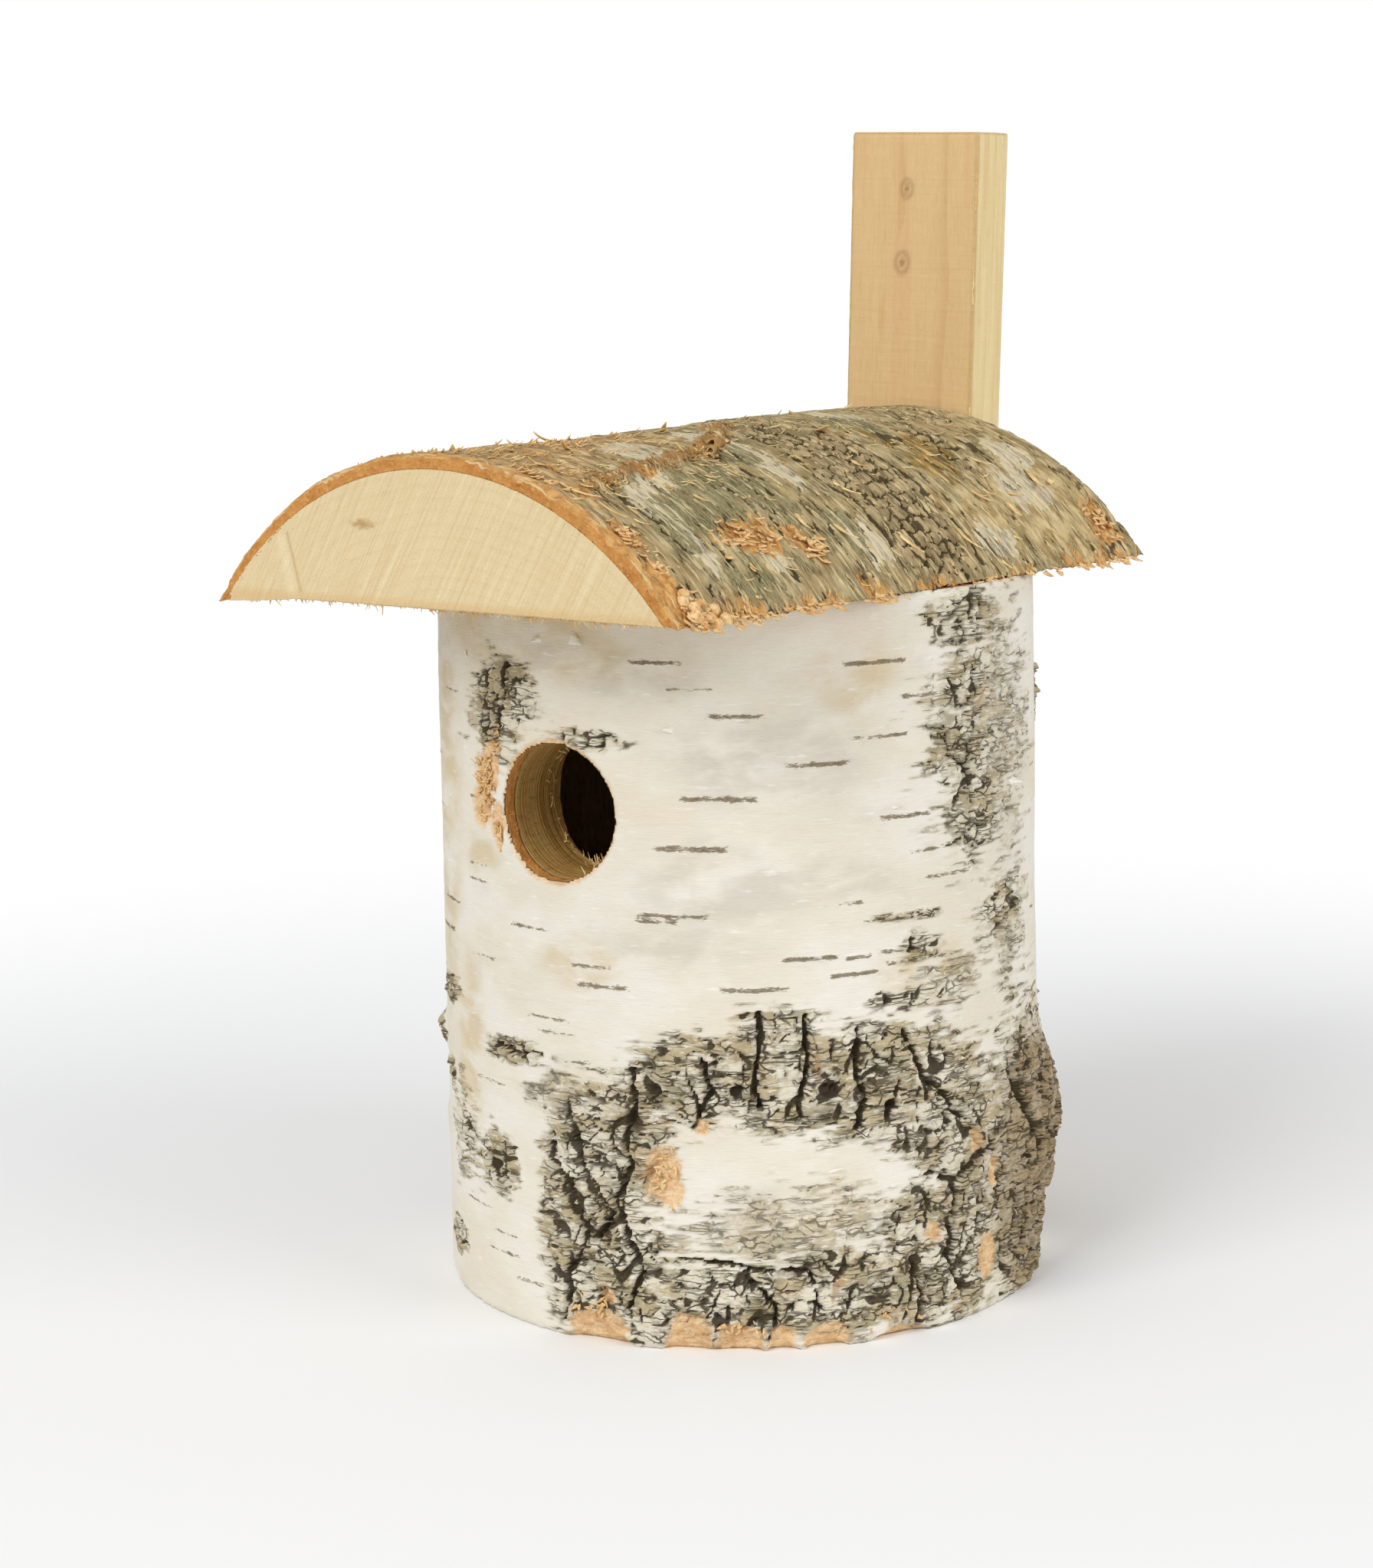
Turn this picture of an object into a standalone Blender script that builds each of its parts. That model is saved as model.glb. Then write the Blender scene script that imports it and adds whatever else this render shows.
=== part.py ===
"""Birdhouse: a bored birch log under a half-round slab roof, held by a leaning batten.

Metres, +Z up. The part stands on z = 0, with its origin under the centre of its
bounding box. Everything is drawn around the log's axis and hangs under one empty,
which moves that axis to its place in the part's frame. The entrance faces -Y and
the batten stands at +Y.
"""
import math

import bmesh
import bpy
from mathutils import Matrix, Vector

# ---------------------------------------------------------------- driving dimensions
CLEARANCE = 0.0003            # gap between pieces that touch or pass through each other
CUT_MARGIN = 0.010            # how far a cutter runs past the wall that it cuts

# Log
LOG_HEIGHT = 0.185
LOG_DIAMETER = 0.1576         # over the bark, at the base
LOG_TAPER = 0.0032            # how much narrower the log is at its top
LOG_BARK = 0.0043             # bark thickness
LOG_WALL = 0.0228             # bark and wood together, from the base's side to the nest

# Corky swelling low on the log's side
BURL_DEPTH = 0.0050
BURL_ANGLE = math.radians(120.0)       # from the front, towards +X and on to the back
BURL_HALF_ANGLE = math.radians(28.0)
BURL_HEIGHT = 0.041
BURL_HALF_HEIGHT = 0.034

# Entrance
ENTRANCE_DIAMETER = 0.034
ENTRANCE_BELOW_TOP = 0.0525   # of its centre below the log's top
ENTRANCE_YAW = math.radians(3.0)       # from the front, towards +X

# Floor, which drops out of a rebate in the base
FLOOR_THICKNESS = 0.015
FLOOR_RECESS = 0.0025         # the floor's underside above the log's base
FLOOR_RIM = 0.0085            # wood left around the rebate, under the bark
DRAIN_DIAMETER = 0.006
DRAIN_INSET = 0.038           # from the floor's edge to a drain hole's centre
DRAIN_COUNT = 4

# Roof
ROOF_INSET = 0.00405          # from the log's side in to each eave
ROOF_RISE = 0.0365            # eaves to ridge
ROOF_OVERHANG = 0.034         # in front of the log
ROOF_BARK = 0.0043
ROOF_BACK_SKEW = math.radians(3.5)     # the saw cut at the back is not square

# Batten
BATTEN_WIDTH = 0.042
BATTEN_THICKNESS = 0.015
BATTEN_SEAT = 0.0005          # depth of the flat shaved on the bark behind the log
BATTEN_LEAN = math.radians(2.33)       # its top leans towards +X
BATTEN_OFFSET = -0.0017       # its centreline's x, level with the log's top
BATTEN_FOOT = 0.0015          # its lowest corner above the base
OVERALL_HEIGHT = 0.299        # its highest corner above the base

# Countersunk wood screws
BATTEN_SCREW_DIAMETER = 0.004
BATTEN_SCREW_HEAD = 0.008
BATTEN_SCREW_COUNT = 3        # into the log
BATTEN_SCREW_MARGIN = 0.030   # from the log's ends to the outer screws
BATTEN_SCREW_COVER = 0.0025   # wood left between a screw's tip and the nest bore
ROOF_SCREW_GRIP = 0.035       # length in the roof's end grain
ROOF_SCREW_HEIGHT = 0.014     # above the eaves
ROOF_SCREW_SPACING = 0.022
FLOOR_SCREW_DIAMETER = 0.0035
FLOOR_SCREW_HEAD = 0.007
FLOOR_SCREW_GRIP = 0.020      # length in the log's wall
FLOOR_SCREW_COUNT = 3
SCREW_HEAD_RIM = 0.0005       # straight rim above the countersunk cone

# Mesh resolution
LOG_SEGMENTS = 64
BARK_RINGS = 10
ENTRANCE_SEGMENTS = 40
ROOF_SEGMENTS = 120
SCREW_SEGMENTS = 14

# ---------------------------------------------------------------- derived dimensions
LOG_BASE_RADIUS = LOG_DIAMETER / 2
LOG_TOP_RADIUS = (LOG_DIAMETER - LOG_TAPER) / 2
WOOD_BASE_RADIUS = LOG_BASE_RADIUS - LOG_BARK
WOOD_TOP_RADIUS = LOG_TOP_RADIUS - LOG_BARK
NEST_RADIUS = LOG_BASE_RADIUS - LOG_WALL
ENTRANCE_Z = LOG_HEIGHT - ENTRANCE_BELOW_TOP

REBATE_RADIUS = WOOD_BASE_RADIUS - FLOOR_RIM
REBATE_DEPTH = FLOOR_RECESS + FLOOR_THICKNESS + CLEARANCE
FLOOR_RADIUS = REBATE_RADIUS - CLEARANCE
FLOOR_SCREW_CIRCLE_RADIUS = (NEST_RADIUS + REBATE_RADIUS) / 2     # mid-ledge
DRAIN_CIRCLE_RADIUS = FLOOR_RADIUS - DRAIN_INSET

BATTEN_FRONT_Y = LOG_BASE_RADIUS - BATTEN_SEAT + CLEARANCE
BATTEN_BACK_Y = BATTEN_FRONT_Y + BATTEN_THICKNESS
BATTEN_HALF_TILT = BATTEN_WIDTH / 2 * math.sin(BATTEN_LEAN)
BATTEN_TOP_Z = OVERALL_HEIGHT - BATTEN_HALF_TILT       # on its centreline
BATTEN_BOTTOM_Z = BATTEN_FOOT + BATTEN_HALF_TILT       # on its centreline
BATTEN_LENGTH = (BATTEN_TOP_Z - BATTEN_BOTTOM_Z) / math.cos(BATTEN_LEAN)

EAVES_Z = LOG_HEIGHT + CLEARANCE
ROOF_WIDTH = LOG_DIAMETER - 2 * ROOF_INSET             # over the bark, at the eaves
ROOF_RADIUS = (ROOF_WIDTH ** 2 / 4 + ROOF_RISE ** 2) / (2 * ROOF_RISE)
ROOF_AXIS_Z = EAVES_Z + ROOF_RISE - ROOF_RADIUS
ROOF_FRONT_Y = -(LOG_BASE_RADIUS + ROOF_OVERHANG)

FRAME_SHIFT_Y = -(ROOF_FRONT_Y + BATTEN_BACK_Y) / 2    # puts the origin mid-depth


def log_radius(z):
    """Outer radius of the bark at a height."""
    share = z / LOG_HEIGHT
    return LOG_BASE_RADIUS + (LOG_TOP_RADIUS - LOG_BASE_RADIUS) * share


def wood_radius(z):
    """Outer radius of the wood under the bark at a height."""
    return log_radius(z) - LOG_BARK


def batten_centre_x(z):
    """Where the leaning batten's centreline is at a height."""
    return BATTEN_OFFSET + (z - LOG_HEIGHT) * math.tan(BATTEN_LEAN)


# ---------------------------------------------------------------- scene helpers
def clear_scene():
    for old in list(bpy.data.objects):
        bpy.data.objects.remove(old, do_unlink=True)


def new_collection(name):
    collection = bpy.data.collections.new(name)
    bpy.context.scene.collection.children.link(collection)
    return collection


def new_frame_empty(collection):
    """The empty on the log's axis, which carries every piece and cutter."""
    empty = bpy.data.objects.new("log_axis", None)
    empty.location = (0.0, FRAME_SHIFT_Y, 0.0)
    empty.empty_display_size = 0.02
    collection.objects.link(empty)
    return empty


def new_material(name, color, roughness, metallic=0.0):
    material = bpy.data.materials.new(name)
    material.use_nodes = True
    shader = material.node_tree.nodes["Principled BSDF"]
    shader.inputs["Base Color"].default_value = (*color, 1.0)
    shader.inputs["Roughness"].default_value = roughness
    shader.inputs["Metallic"].default_value = metallic
    return material


class Workshop:
    """The collections, the carrying empty and the materials."""

    def __init__(self):
        clear_scene()
        self.parts = new_collection("birdhouse")
        self.cutters = new_collection("birdhouse_cutters")
        self.axis = new_frame_empty(self.parts)
        self.birch_bark = new_material("birch_bark", (0.72, 0.69, 0.64), 0.85)
        self.roof_bark = new_material("old_roof_bark", (0.36, 0.33, 0.28), 0.90)
        self.birch_wood = new_material("birch_wood", (0.78, 0.62, 0.42), 0.75)
        self.roof_wood = new_material("roof_wood", (0.84, 0.71, 0.50), 0.80)
        self.batten_wood = new_material("batten_wood", (0.78, 0.58, 0.36), 0.70)
        self.floor_wood = new_material("floor_wood", (0.80, 0.66, 0.46), 0.70)
        self.steel = new_material("screw_steel", (0.72, 0.72, 0.70), 0.35, 1.0)

    def add_part(self, name, mesh, material):
        """A piece of the birdhouse, carried by the log's axis."""
        part = bpy.data.objects.new(name, mesh)
        if not mesh.materials:
            mesh.materials.append(material)
        part.parent = self.axis
        self.parts.objects.link(part)
        return part

    def add_cutter(self, name, mesh):
        """A shape that is cut away from pieces and never built."""
        cutter = bpy.data.objects.new(name, mesh)
        cutter.parent = self.axis
        cutter.hide_render = True
        cutter.display_type = 'WIRE'
        self.cutters.objects.link(cutter)
        return cutter


def cut(part, *cutters):
    for cutter in cutters:
        modifier = part.modifiers.new("cut_" + cutter.name, 'BOOLEAN')
        modifier.operation = 'DIFFERENCE'
        modifier.solver = 'EXACT'
        modifier.object = cutter


def turn(part, segments):
    """Turns a half profile about the object's own Z axis."""
    modifier = part.modifiers.new("turn", 'SCREW')
    modifier.axis = 'Z'
    modifier.steps = segments
    modifier.render_steps = segments
    modifier.use_merge_vertices = True
    modifier.merge_threshold = 0.00001


def shade_round(mesh):
    mesh.shade_smooth()
    mesh.set_sharp_from_angle(angle=math.radians(30.0))


# ---------------------------------------------------------------- mesh helpers
def profile_mesh(name, points, closed):
    """A half profile in the XZ plane: (radius, height) down its outer side."""
    vertices = [(radius, 0.0, height) for radius, height in points]
    edges = [(i, i + 1) for i in range(len(points) - 1)]
    if closed:
        edges.append((len(points) - 1, 0))
    mesh = bpy.data.meshes.new(name)
    mesh.from_pydata(vertices, edges, [])
    return mesh


def bmesh_to_mesh(name, bm):
    bmesh.ops.recalc_face_normals(bm, faces=bm.faces)
    mesh = bpy.data.meshes.new(name)
    bm.to_mesh(mesh)
    bm.free()
    return mesh


def box_mesh(name, low, high):
    bm = bmesh.new()
    bmesh.ops.create_cube(bm, size=1.0)
    low = Vector(low)
    high = Vector(high)
    bmesh.ops.scale(bm, vec=high - low, verts=bm.verts)
    bmesh.ops.translate(bm, vec=(low + high) / 2, verts=bm.verts)
    return bmesh_to_mesh(name, bm)


def cone_mesh(name, bottom_radius, top_radius, bottom, top, segments):
    """A cylinder or cone about Z between two heights."""
    bm = bmesh.new()
    bmesh.ops.create_cone(bm, cap_ends=True, segments=segments, radius1=bottom_radius,
                          radius2=top_radius, depth=top - bottom)
    bmesh.ops.translate(bm, vec=(0.0, 0.0, (bottom + top) / 2), verts=bm.verts)
    return bmesh_to_mesh(name, bm)


# ---------------------------------------------------------------- screws
def screw_points(diameter, head, length):
    """A countersunk screw with its head's face at z = 0 and its tip at -length."""
    radius = diameter / 2
    cone = head / 2 - radius
    return [
        (0.0, 0.0),
        (head / 2, 0.0),
        (head / 2, -SCREW_HEAD_RIM),
        (radius, -SCREW_HEAD_RIM - cone),
        (radius, -length + diameter),
        (0.0, -length),
    ]


def screw_hole_points(diameter, head, length):
    """The hole for that screw, a clearance wider and open past its head."""
    radius = diameter / 2 + CLEARANCE
    head_radius = head / 2 + CLEARANCE
    seat = -SCREW_HEAD_RIM - CLEARANCE
    return [
        (0.0, CUT_MARGIN),
        (head_radius, CUT_MARGIN),
        (head_radius, seat),
        (radius, seat - (head_radius - radius)),
        (radius, -length + diameter - CLEARANCE),
        (0.0, -length - 3 * CLEARANCE),
    ]


class ScrewKind:
    """One size of screw, whose copies share a mesh."""

    def __init__(self, name, diameter, head, length, turn_from_z):
        self.name = name
        self.turn_from_z = turn_from_z
        points = screw_points(diameter, head, length)
        hole = screw_hole_points(diameter, head, length)
        self.mesh = profile_mesh(name, points, closed=False)
        self.hole_mesh = profile_mesh(name + "_hole", hole, closed=False)

    def place(self, shop, number, head_face):
        """Puts in one screw and returns its hole's cutter."""
        name = f"{self.name}_{number}"
        screw = shop.add_part(name, self.mesh, shop.steel)
        hole = shop.add_cutter(name + "_hole", self.hole_mesh)
        for piece in (screw, hole):
            piece.location = head_face
            piece.rotation_euler = (self.turn_from_z, 0.0, 0.0)
            turn(piece, SCREW_SEGMENTS)
        return hole


OUT_OF_BATTEN = math.radians(-90.0)   # turns a screw's head from +Z to +Y
OUT_OF_FLOOR = math.radians(180.0)    # turns a screw's head from +Z to -Z


def add_batten_screws(shop):
    length = BATTEN_BACK_Y - NEST_RADIUS - BATTEN_SCREW_COVER
    kind = ScrewKind("batten_screw", BATTEN_SCREW_DIAMETER, BATTEN_SCREW_HEAD, length,
                     OUT_OF_BATTEN)
    holes = []
    pitch = (LOG_HEIGHT - 2 * BATTEN_SCREW_MARGIN) / (BATTEN_SCREW_COUNT - 1)
    for number in range(BATTEN_SCREW_COUNT):
        z = BATTEN_SCREW_MARGIN + number * pitch
        holes.append(kind.place(shop, number + 1, (batten_centre_x(z), BATTEN_BACK_Y, z)))
    return holes


def add_roof_screws(shop):
    length = BATTEN_THICKNESS + CLEARANCE + ROOF_SCREW_GRIP
    kind = ScrewKind("roof_screw", BATTEN_SCREW_DIAMETER, BATTEN_SCREW_HEAD, length,
                     OUT_OF_BATTEN)
    z = EAVES_Z + ROOF_SCREW_HEIGHT
    holes = []
    for number, side in enumerate((-1, 1), start=1):
        x = batten_centre_x(z) + side * ROOF_SCREW_SPACING / 2
        holes.append(kind.place(shop, number, (x, BATTEN_BACK_Y, z)))
    return holes


def add_floor_screws(shop):
    length = FLOOR_THICKNESS + CLEARANCE + FLOOR_SCREW_GRIP
    kind = ScrewKind("floor_screw", FLOOR_SCREW_DIAMETER, FLOOR_SCREW_HEAD, length,
                     OUT_OF_FLOOR)
    holes = []
    for number in range(FLOOR_SCREW_COUNT):
        angle = math.tau * (number + 0.25) / FLOOR_SCREW_COUNT
        x = FLOOR_SCREW_CIRCLE_RADIUS * math.cos(angle)
        y = FLOOR_SCREW_CIRCLE_RADIUS * math.sin(angle)
        holes.append(kind.place(shop, number + 1, (x, y, FLOOR_RECESS)))
    return holes


# ---------------------------------------------------------------- log
def add_entrance_cutter(shop):
    """A round bore from outside the bark into the nest, square to the log's side."""
    reach = LOG_BASE_RADIUS + CUT_MARGIN
    mesh = cone_mesh("entrance_bore", ENTRANCE_DIAMETER / 2, ENTRANCE_DIAMETER / 2,
                     0.0, reach, ENTRANCE_SEGMENTS)
    cutter = shop.add_cutter("entrance_bore", mesh)
    cutter.location = (0.0, 0.0, ENTRANCE_Z)
    cutter.rotation_euler = (math.radians(90.0), 0.0, ENTRANCE_YAW)
    return cutter


def add_log_wall(shop, entrance, batten_holes, floor_holes):
    """The wood of the log: bored right through, with a rebate for the floor."""
    points = [
        (WOOD_TOP_RADIUS, LOG_HEIGHT),
        (WOOD_BASE_RADIUS, 0.0),
        (REBATE_RADIUS, 0.0),
        (REBATE_RADIUS, REBATE_DEPTH),
        (NEST_RADIUS, REBATE_DEPTH),
        (NEST_RADIUS, LOG_HEIGHT),
    ]
    mesh = profile_mesh("log_wall", points, closed=True)
    wall = shop.add_part("log_wall", mesh, shop.birch_wood)
    turn(wall, LOG_SEGMENTS)
    cut(wall, entrance, *batten_holes, *floor_holes)
    return wall


def burl_swelling(angle, z):
    """How far the corky swelling lifts the bark, at an angle from the front."""
    across = min(abs(angle - BURL_ANGLE) / BURL_HALF_ANGLE, 1.0)
    along = min(abs(z - BURL_HEIGHT) / BURL_HALF_HEIGHT, 1.0)
    fade_across = math.cos(across * math.pi / 2) ** 2
    fade_along = math.cos(along * math.pi / 2) ** 2
    return BURL_DEPTH * fade_across * fade_along


def bark_block_mesh():
    """The whole log over its bark, with the swelling, before it is hollowed."""
    bm = bmesh.new()
    bmesh.ops.create_cone(bm, cap_ends=True, segments=LOG_SEGMENTS,
                          radius1=LOG_BASE_RADIUS, radius2=LOG_TOP_RADIUS,
                          depth=LOG_HEIGHT)
    bmesh.ops.translate(bm, vec=(0.0, 0.0, LOG_HEIGHT / 2), verts=bm.verts)
    upright = [e for e in bm.edges if abs(e.verts[0].co.z - e.verts[1].co.z) > LOG_HEIGHT / 2]
    bmesh.ops.subdivide_edges(bm, edges=upright, cuts=BARK_RINGS)
    for vertex in bm.verts:
        x, y, z = vertex.co
        swelling = burl_swelling(math.atan2(x, -y), z)
        outward = Vector((x, y, 0.0)).normalized()
        vertex.co += outward * swelling
    return bmesh_to_mesh("log_bark", bm)


def add_log_bark(shop, entrance, batten_holes):
    """The sleeve of bark, with a flat shaved where the batten lies against it."""
    bark = shop.add_part("log_bark", bark_block_mesh(), shop.birch_bark)
    wood = cone_mesh("wood_in_bark",
                     wood_radius(-CUT_MARGIN) + CLEARANCE,
                     wood_radius(LOG_HEIGHT + CUT_MARGIN) + CLEARANCE,
                     -CUT_MARGIN, LOG_HEIGHT + CUT_MARGIN, LOG_SEGMENTS)
    wood_cutter = shop.add_cutter("wood_in_bark", wood)
    seat = box_mesh("batten_seat",
                    (-LOG_BASE_RADIUS, BATTEN_FRONT_Y - CLEARANCE, -CUT_MARGIN),
                    (LOG_BASE_RADIUS, BATTEN_BACK_Y, LOG_HEIGHT + CUT_MARGIN))
    seat_cutter = shop.add_cutter("batten_seat", seat)
    cut(bark, wood_cutter, seat_cutter, entrance, *batten_holes)
    return bark


# ---------------------------------------------------------------- floor
def add_floor(shop, floor_holes):
    """The drop-out floor with its drain holes."""
    top = FLOOR_RECESS + FLOOR_THICKNESS
    mesh = cone_mesh("floor_disc", FLOOR_RADIUS, FLOOR_RADIUS, FLOOR_RECESS, top, LOG_SEGMENTS)
    floor = shop.add_part("floor_disc", mesh, shop.floor_wood)
    drains = []
    for number in range(DRAIN_COUNT):
        angle = math.tau * (number + 0.5) / DRAIN_COUNT
        drain = cone_mesh("drain_hole", DRAIN_DIAMETER / 2, DRAIN_DIAMETER / 2,
                          FLOOR_RECESS - CUT_MARGIN, top + CUT_MARGIN, SCREW_SEGMENTS)
        cutter = shop.add_cutter(f"drain_hole_{number + 1}", drain)
        cutter.location = (DRAIN_CIRCLE_RADIUS * math.cos(angle),
                           DRAIN_CIRCLE_RADIUS * math.sin(angle), 0.0)
        drains.append(cutter)
    cut(floor, *drains, *floor_holes)
    return floor


# ---------------------------------------------------------------- roof
def roof_round_mesh(name, radius, front, back):
    """A full round bar along Y on the roof's own axis."""
    bm = bmesh.new()
    bmesh.ops.create_cone(bm, cap_ends=True, segments=ROOF_SEGMENTS, radius1=radius,
                          radius2=radius, depth=back - front)
    bmesh.ops.rotate(bm, matrix=Matrix.Rotation(math.radians(90.0), 3, 'X'), verts=bm.verts)
    bmesh.ops.translate(bm, vec=(0.0, (front + back) / 2, ROOF_AXIS_Z), verts=bm.verts)
    return bmesh_to_mesh(name, bm)


def add_roof_cutters(shop):
    """What both the slab and its bark lose: all below the eaves, and the skewed back."""
    reach = 2 * ROOF_RADIUS
    below = box_mesh("below_eaves", (-reach, -reach, -reach), (reach, reach, EAVES_Z))
    below_cutter = shop.add_cutter("below_eaves", below)
    behind = box_mesh("behind_roof", (-reach, 0.0, -reach), (reach, reach, reach))
    behind_cutter = shop.add_cutter("behind_roof", behind)
    touch_x = batten_centre_x(EAVES_Z) + BATTEN_WIDTH / 2
    behind_cutter.location = (touch_x, BATTEN_FRONT_Y - CLEARANCE, EAVES_Z)
    behind_cutter.rotation_euler = (0.0, 0.0, ROOF_BACK_SKEW)
    return [below_cutter, behind_cutter]


def add_roof(shop, roof_holes):
    """The half-round slab of wood and the bark left on its back."""
    cutters = add_roof_cutters(shop)
    back = BATTEN_FRONT_Y + ROOF_WIDTH * math.tan(ROOF_BACK_SKEW)
    wood = roof_round_mesh("roof_slab", ROOF_RADIUS - ROOF_BARK, ROOF_FRONT_Y, back)
    slab = shop.add_part("roof_slab", wood, shop.roof_wood)
    cut(slab, *cutters, *roof_holes)
    skin = roof_round_mesh("roof_bark", ROOF_RADIUS, ROOF_FRONT_Y, back)
    bark = shop.add_part("roof_bark", skin, shop.roof_bark)
    core = roof_round_mesh("wood_in_roof_bark", ROOF_RADIUS - ROOF_BARK + CLEARANCE,
                           ROOF_FRONT_Y - CUT_MARGIN, back + CUT_MARGIN)
    core_cutter = shop.add_cutter("wood_in_roof_bark", core)
    cut(bark, core_cutter, *cutters)
    return slab, bark


# ---------------------------------------------------------------- batten
def add_batten(shop, holes):
    """The leaning batten behind the log and the roof."""
    half_width = BATTEN_WIDTH / 2
    mesh = box_mesh("batten", (-half_width, 0.0, -BATTEN_LENGTH / 2),
                    (half_width, BATTEN_THICKNESS, BATTEN_LENGTH / 2))
    batten = shop.add_part("batten", mesh, shop.batten_wood)
    middle_z = (BATTEN_TOP_Z + BATTEN_BOTTOM_Z) / 2
    batten.location = (batten_centre_x(middle_z), BATTEN_FRONT_Y, middle_z)
    batten.rotation_euler = (0.0, BATTEN_LEAN, 0.0)
    cut(batten, *holes)
    return batten


# ---------------------------------------------------------------- assembly
def main():
    shop = Workshop()
    entrance = add_entrance_cutter(shop)
    batten_holes = add_batten_screws(shop)
    roof_holes = add_roof_screws(shop)
    floor_holes = add_floor_screws(shop)

    log_wall = add_log_wall(shop, entrance, batten_holes, floor_holes)
    log_bark = add_log_bark(shop, entrance, batten_holes)
    floor = add_floor(shop, floor_holes)
    roof_slab, roof_bark = add_roof(shop, roof_holes)
    add_batten(shop, batten_holes + roof_holes)

    for round_part in (log_wall, log_bark, floor, roof_slab, roof_bark):
        shade_round(round_part.data)


main()
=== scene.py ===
"""The looks of the birdhouse: bark, wood, screws, light and camera around the CAD frame.

Metres, in the CAD's own frame: +Z up, the entrance on the -Y side, the batten at +Y.
Surfaces are grids of points that numpy displaces. The same patterns are written on the
points as attributes, and the materials read them, so colour and relief lie together.
"""

import math

import bmesh
import bpy
import numpy as np
from mathutils import Matrix, Vector


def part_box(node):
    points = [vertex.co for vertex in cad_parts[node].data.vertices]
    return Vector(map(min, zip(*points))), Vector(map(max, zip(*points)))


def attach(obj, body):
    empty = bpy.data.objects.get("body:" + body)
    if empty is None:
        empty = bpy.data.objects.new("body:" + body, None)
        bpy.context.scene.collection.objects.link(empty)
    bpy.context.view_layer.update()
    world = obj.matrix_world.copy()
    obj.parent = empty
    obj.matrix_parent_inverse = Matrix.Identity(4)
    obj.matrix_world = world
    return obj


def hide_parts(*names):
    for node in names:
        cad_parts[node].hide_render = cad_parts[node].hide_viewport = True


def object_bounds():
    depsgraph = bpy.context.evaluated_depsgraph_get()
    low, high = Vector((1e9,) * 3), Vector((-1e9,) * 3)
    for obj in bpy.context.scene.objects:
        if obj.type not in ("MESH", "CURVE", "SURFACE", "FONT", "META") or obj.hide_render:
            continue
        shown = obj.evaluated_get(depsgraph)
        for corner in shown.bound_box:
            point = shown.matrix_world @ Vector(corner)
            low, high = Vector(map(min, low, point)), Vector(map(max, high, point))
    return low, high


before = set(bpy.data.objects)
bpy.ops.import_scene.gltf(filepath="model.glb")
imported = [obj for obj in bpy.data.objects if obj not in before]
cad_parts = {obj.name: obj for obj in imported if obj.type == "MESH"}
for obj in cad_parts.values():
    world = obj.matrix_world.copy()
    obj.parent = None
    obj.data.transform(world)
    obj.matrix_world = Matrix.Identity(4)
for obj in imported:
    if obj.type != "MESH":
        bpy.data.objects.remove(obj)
CAD_LOW, CAD_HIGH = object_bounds()

MM = 0.001
BODY = "house"
FLOOR_BODY = "floor"
DETAIL = 1.0     # share of the full grid resolution

# ---------------------------------------------------------------- places, from the frame
LOG_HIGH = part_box("log_bark")[1]
WALL_LOW, WALL_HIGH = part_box("log_wall")
ROOF_LOW, ROOF_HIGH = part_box("roof_bark")
SLAB_LOW, SLAB_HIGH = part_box("roof_slab")
BATTEN_LOW, BATTEN_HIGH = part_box("batten")
FLOOR_LOW, FLOOR_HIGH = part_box("floor_disc")

AXIS_Y = (WALL_LOW[1] + WALL_HIGH[1]) / 2             # the log stands on x = 0
LOG_HEIGHT = LOG_HIGH[2]
LOG_RADIUS = LOG_HIGH[0]                              # over the bark, at the base
LOG_TAPER = 1.6 * MM                                  # lost from the radius at the top
LOG_AROUND = math.tau * LOG_RADIUS
WOOD_RADIUS = WALL_HIGH[0]
BARK_GAP = 0.3 * MM
NEST_RADIUS = 56.0 * MM
REBATE_RADIUS = FLOOR_HIGH[0] + 0.3 * MM
REBATE_DEPTH = FLOOR_HIGH[2] + 0.3 * MM

ENTRANCE_Z = 132.5 * MM
ENTRANCE_ANGLE = math.radians(3.0)
ENTRANCE_RADIUS = 17.0 * MM
BORE_FROM = 44 * MM                                   # the cutter's ends: inside the nest
BORE_TO = 92 * MM                                     # and outside the bark

EAVES_Z = ROOF_LOW[2]
ROOF_HALF_WIDTH = ROOF_HIGH[0]
ROOF_RISE = ROOF_HIGH[2] - EAVES_Z
ROOF_RADIUS = (ROOF_HALF_WIDTH ** 2 + ROOF_RISE ** 2) / (2 * ROOF_RISE)
ROOF_AXIS_Z = EAVES_Z + ROOF_RISE - ROOF_RADIUS
ROOF_BARK = ROOF_HIGH[2] - SLAB_HIGH[2]
ROOF_SKEW = math.tan(math.radians(3.5))               # the back end is cut askew
ROOF_GROWTH = 2.8 * MM                                # what the back rises over the CAD's roof
ROOF_BACK_Y = ROOF_HIGH[1] - ROOF_HALF_WIDTH * ROOF_SKEW     # at x = 0
BATTEN_LEAN = math.radians(2.33)


def srgb(red, green, blue):
    """A colour picked on a screen, from 0 to 255, as the linear values nodes take."""
    def linear(value):
        share = value / 255
        return share / 12.92 if share <= 0.04045 else ((share + 0.055) / 1.055) ** 2.4
    return (linear(red), linear(green), linear(blue), 1.0)


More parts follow.
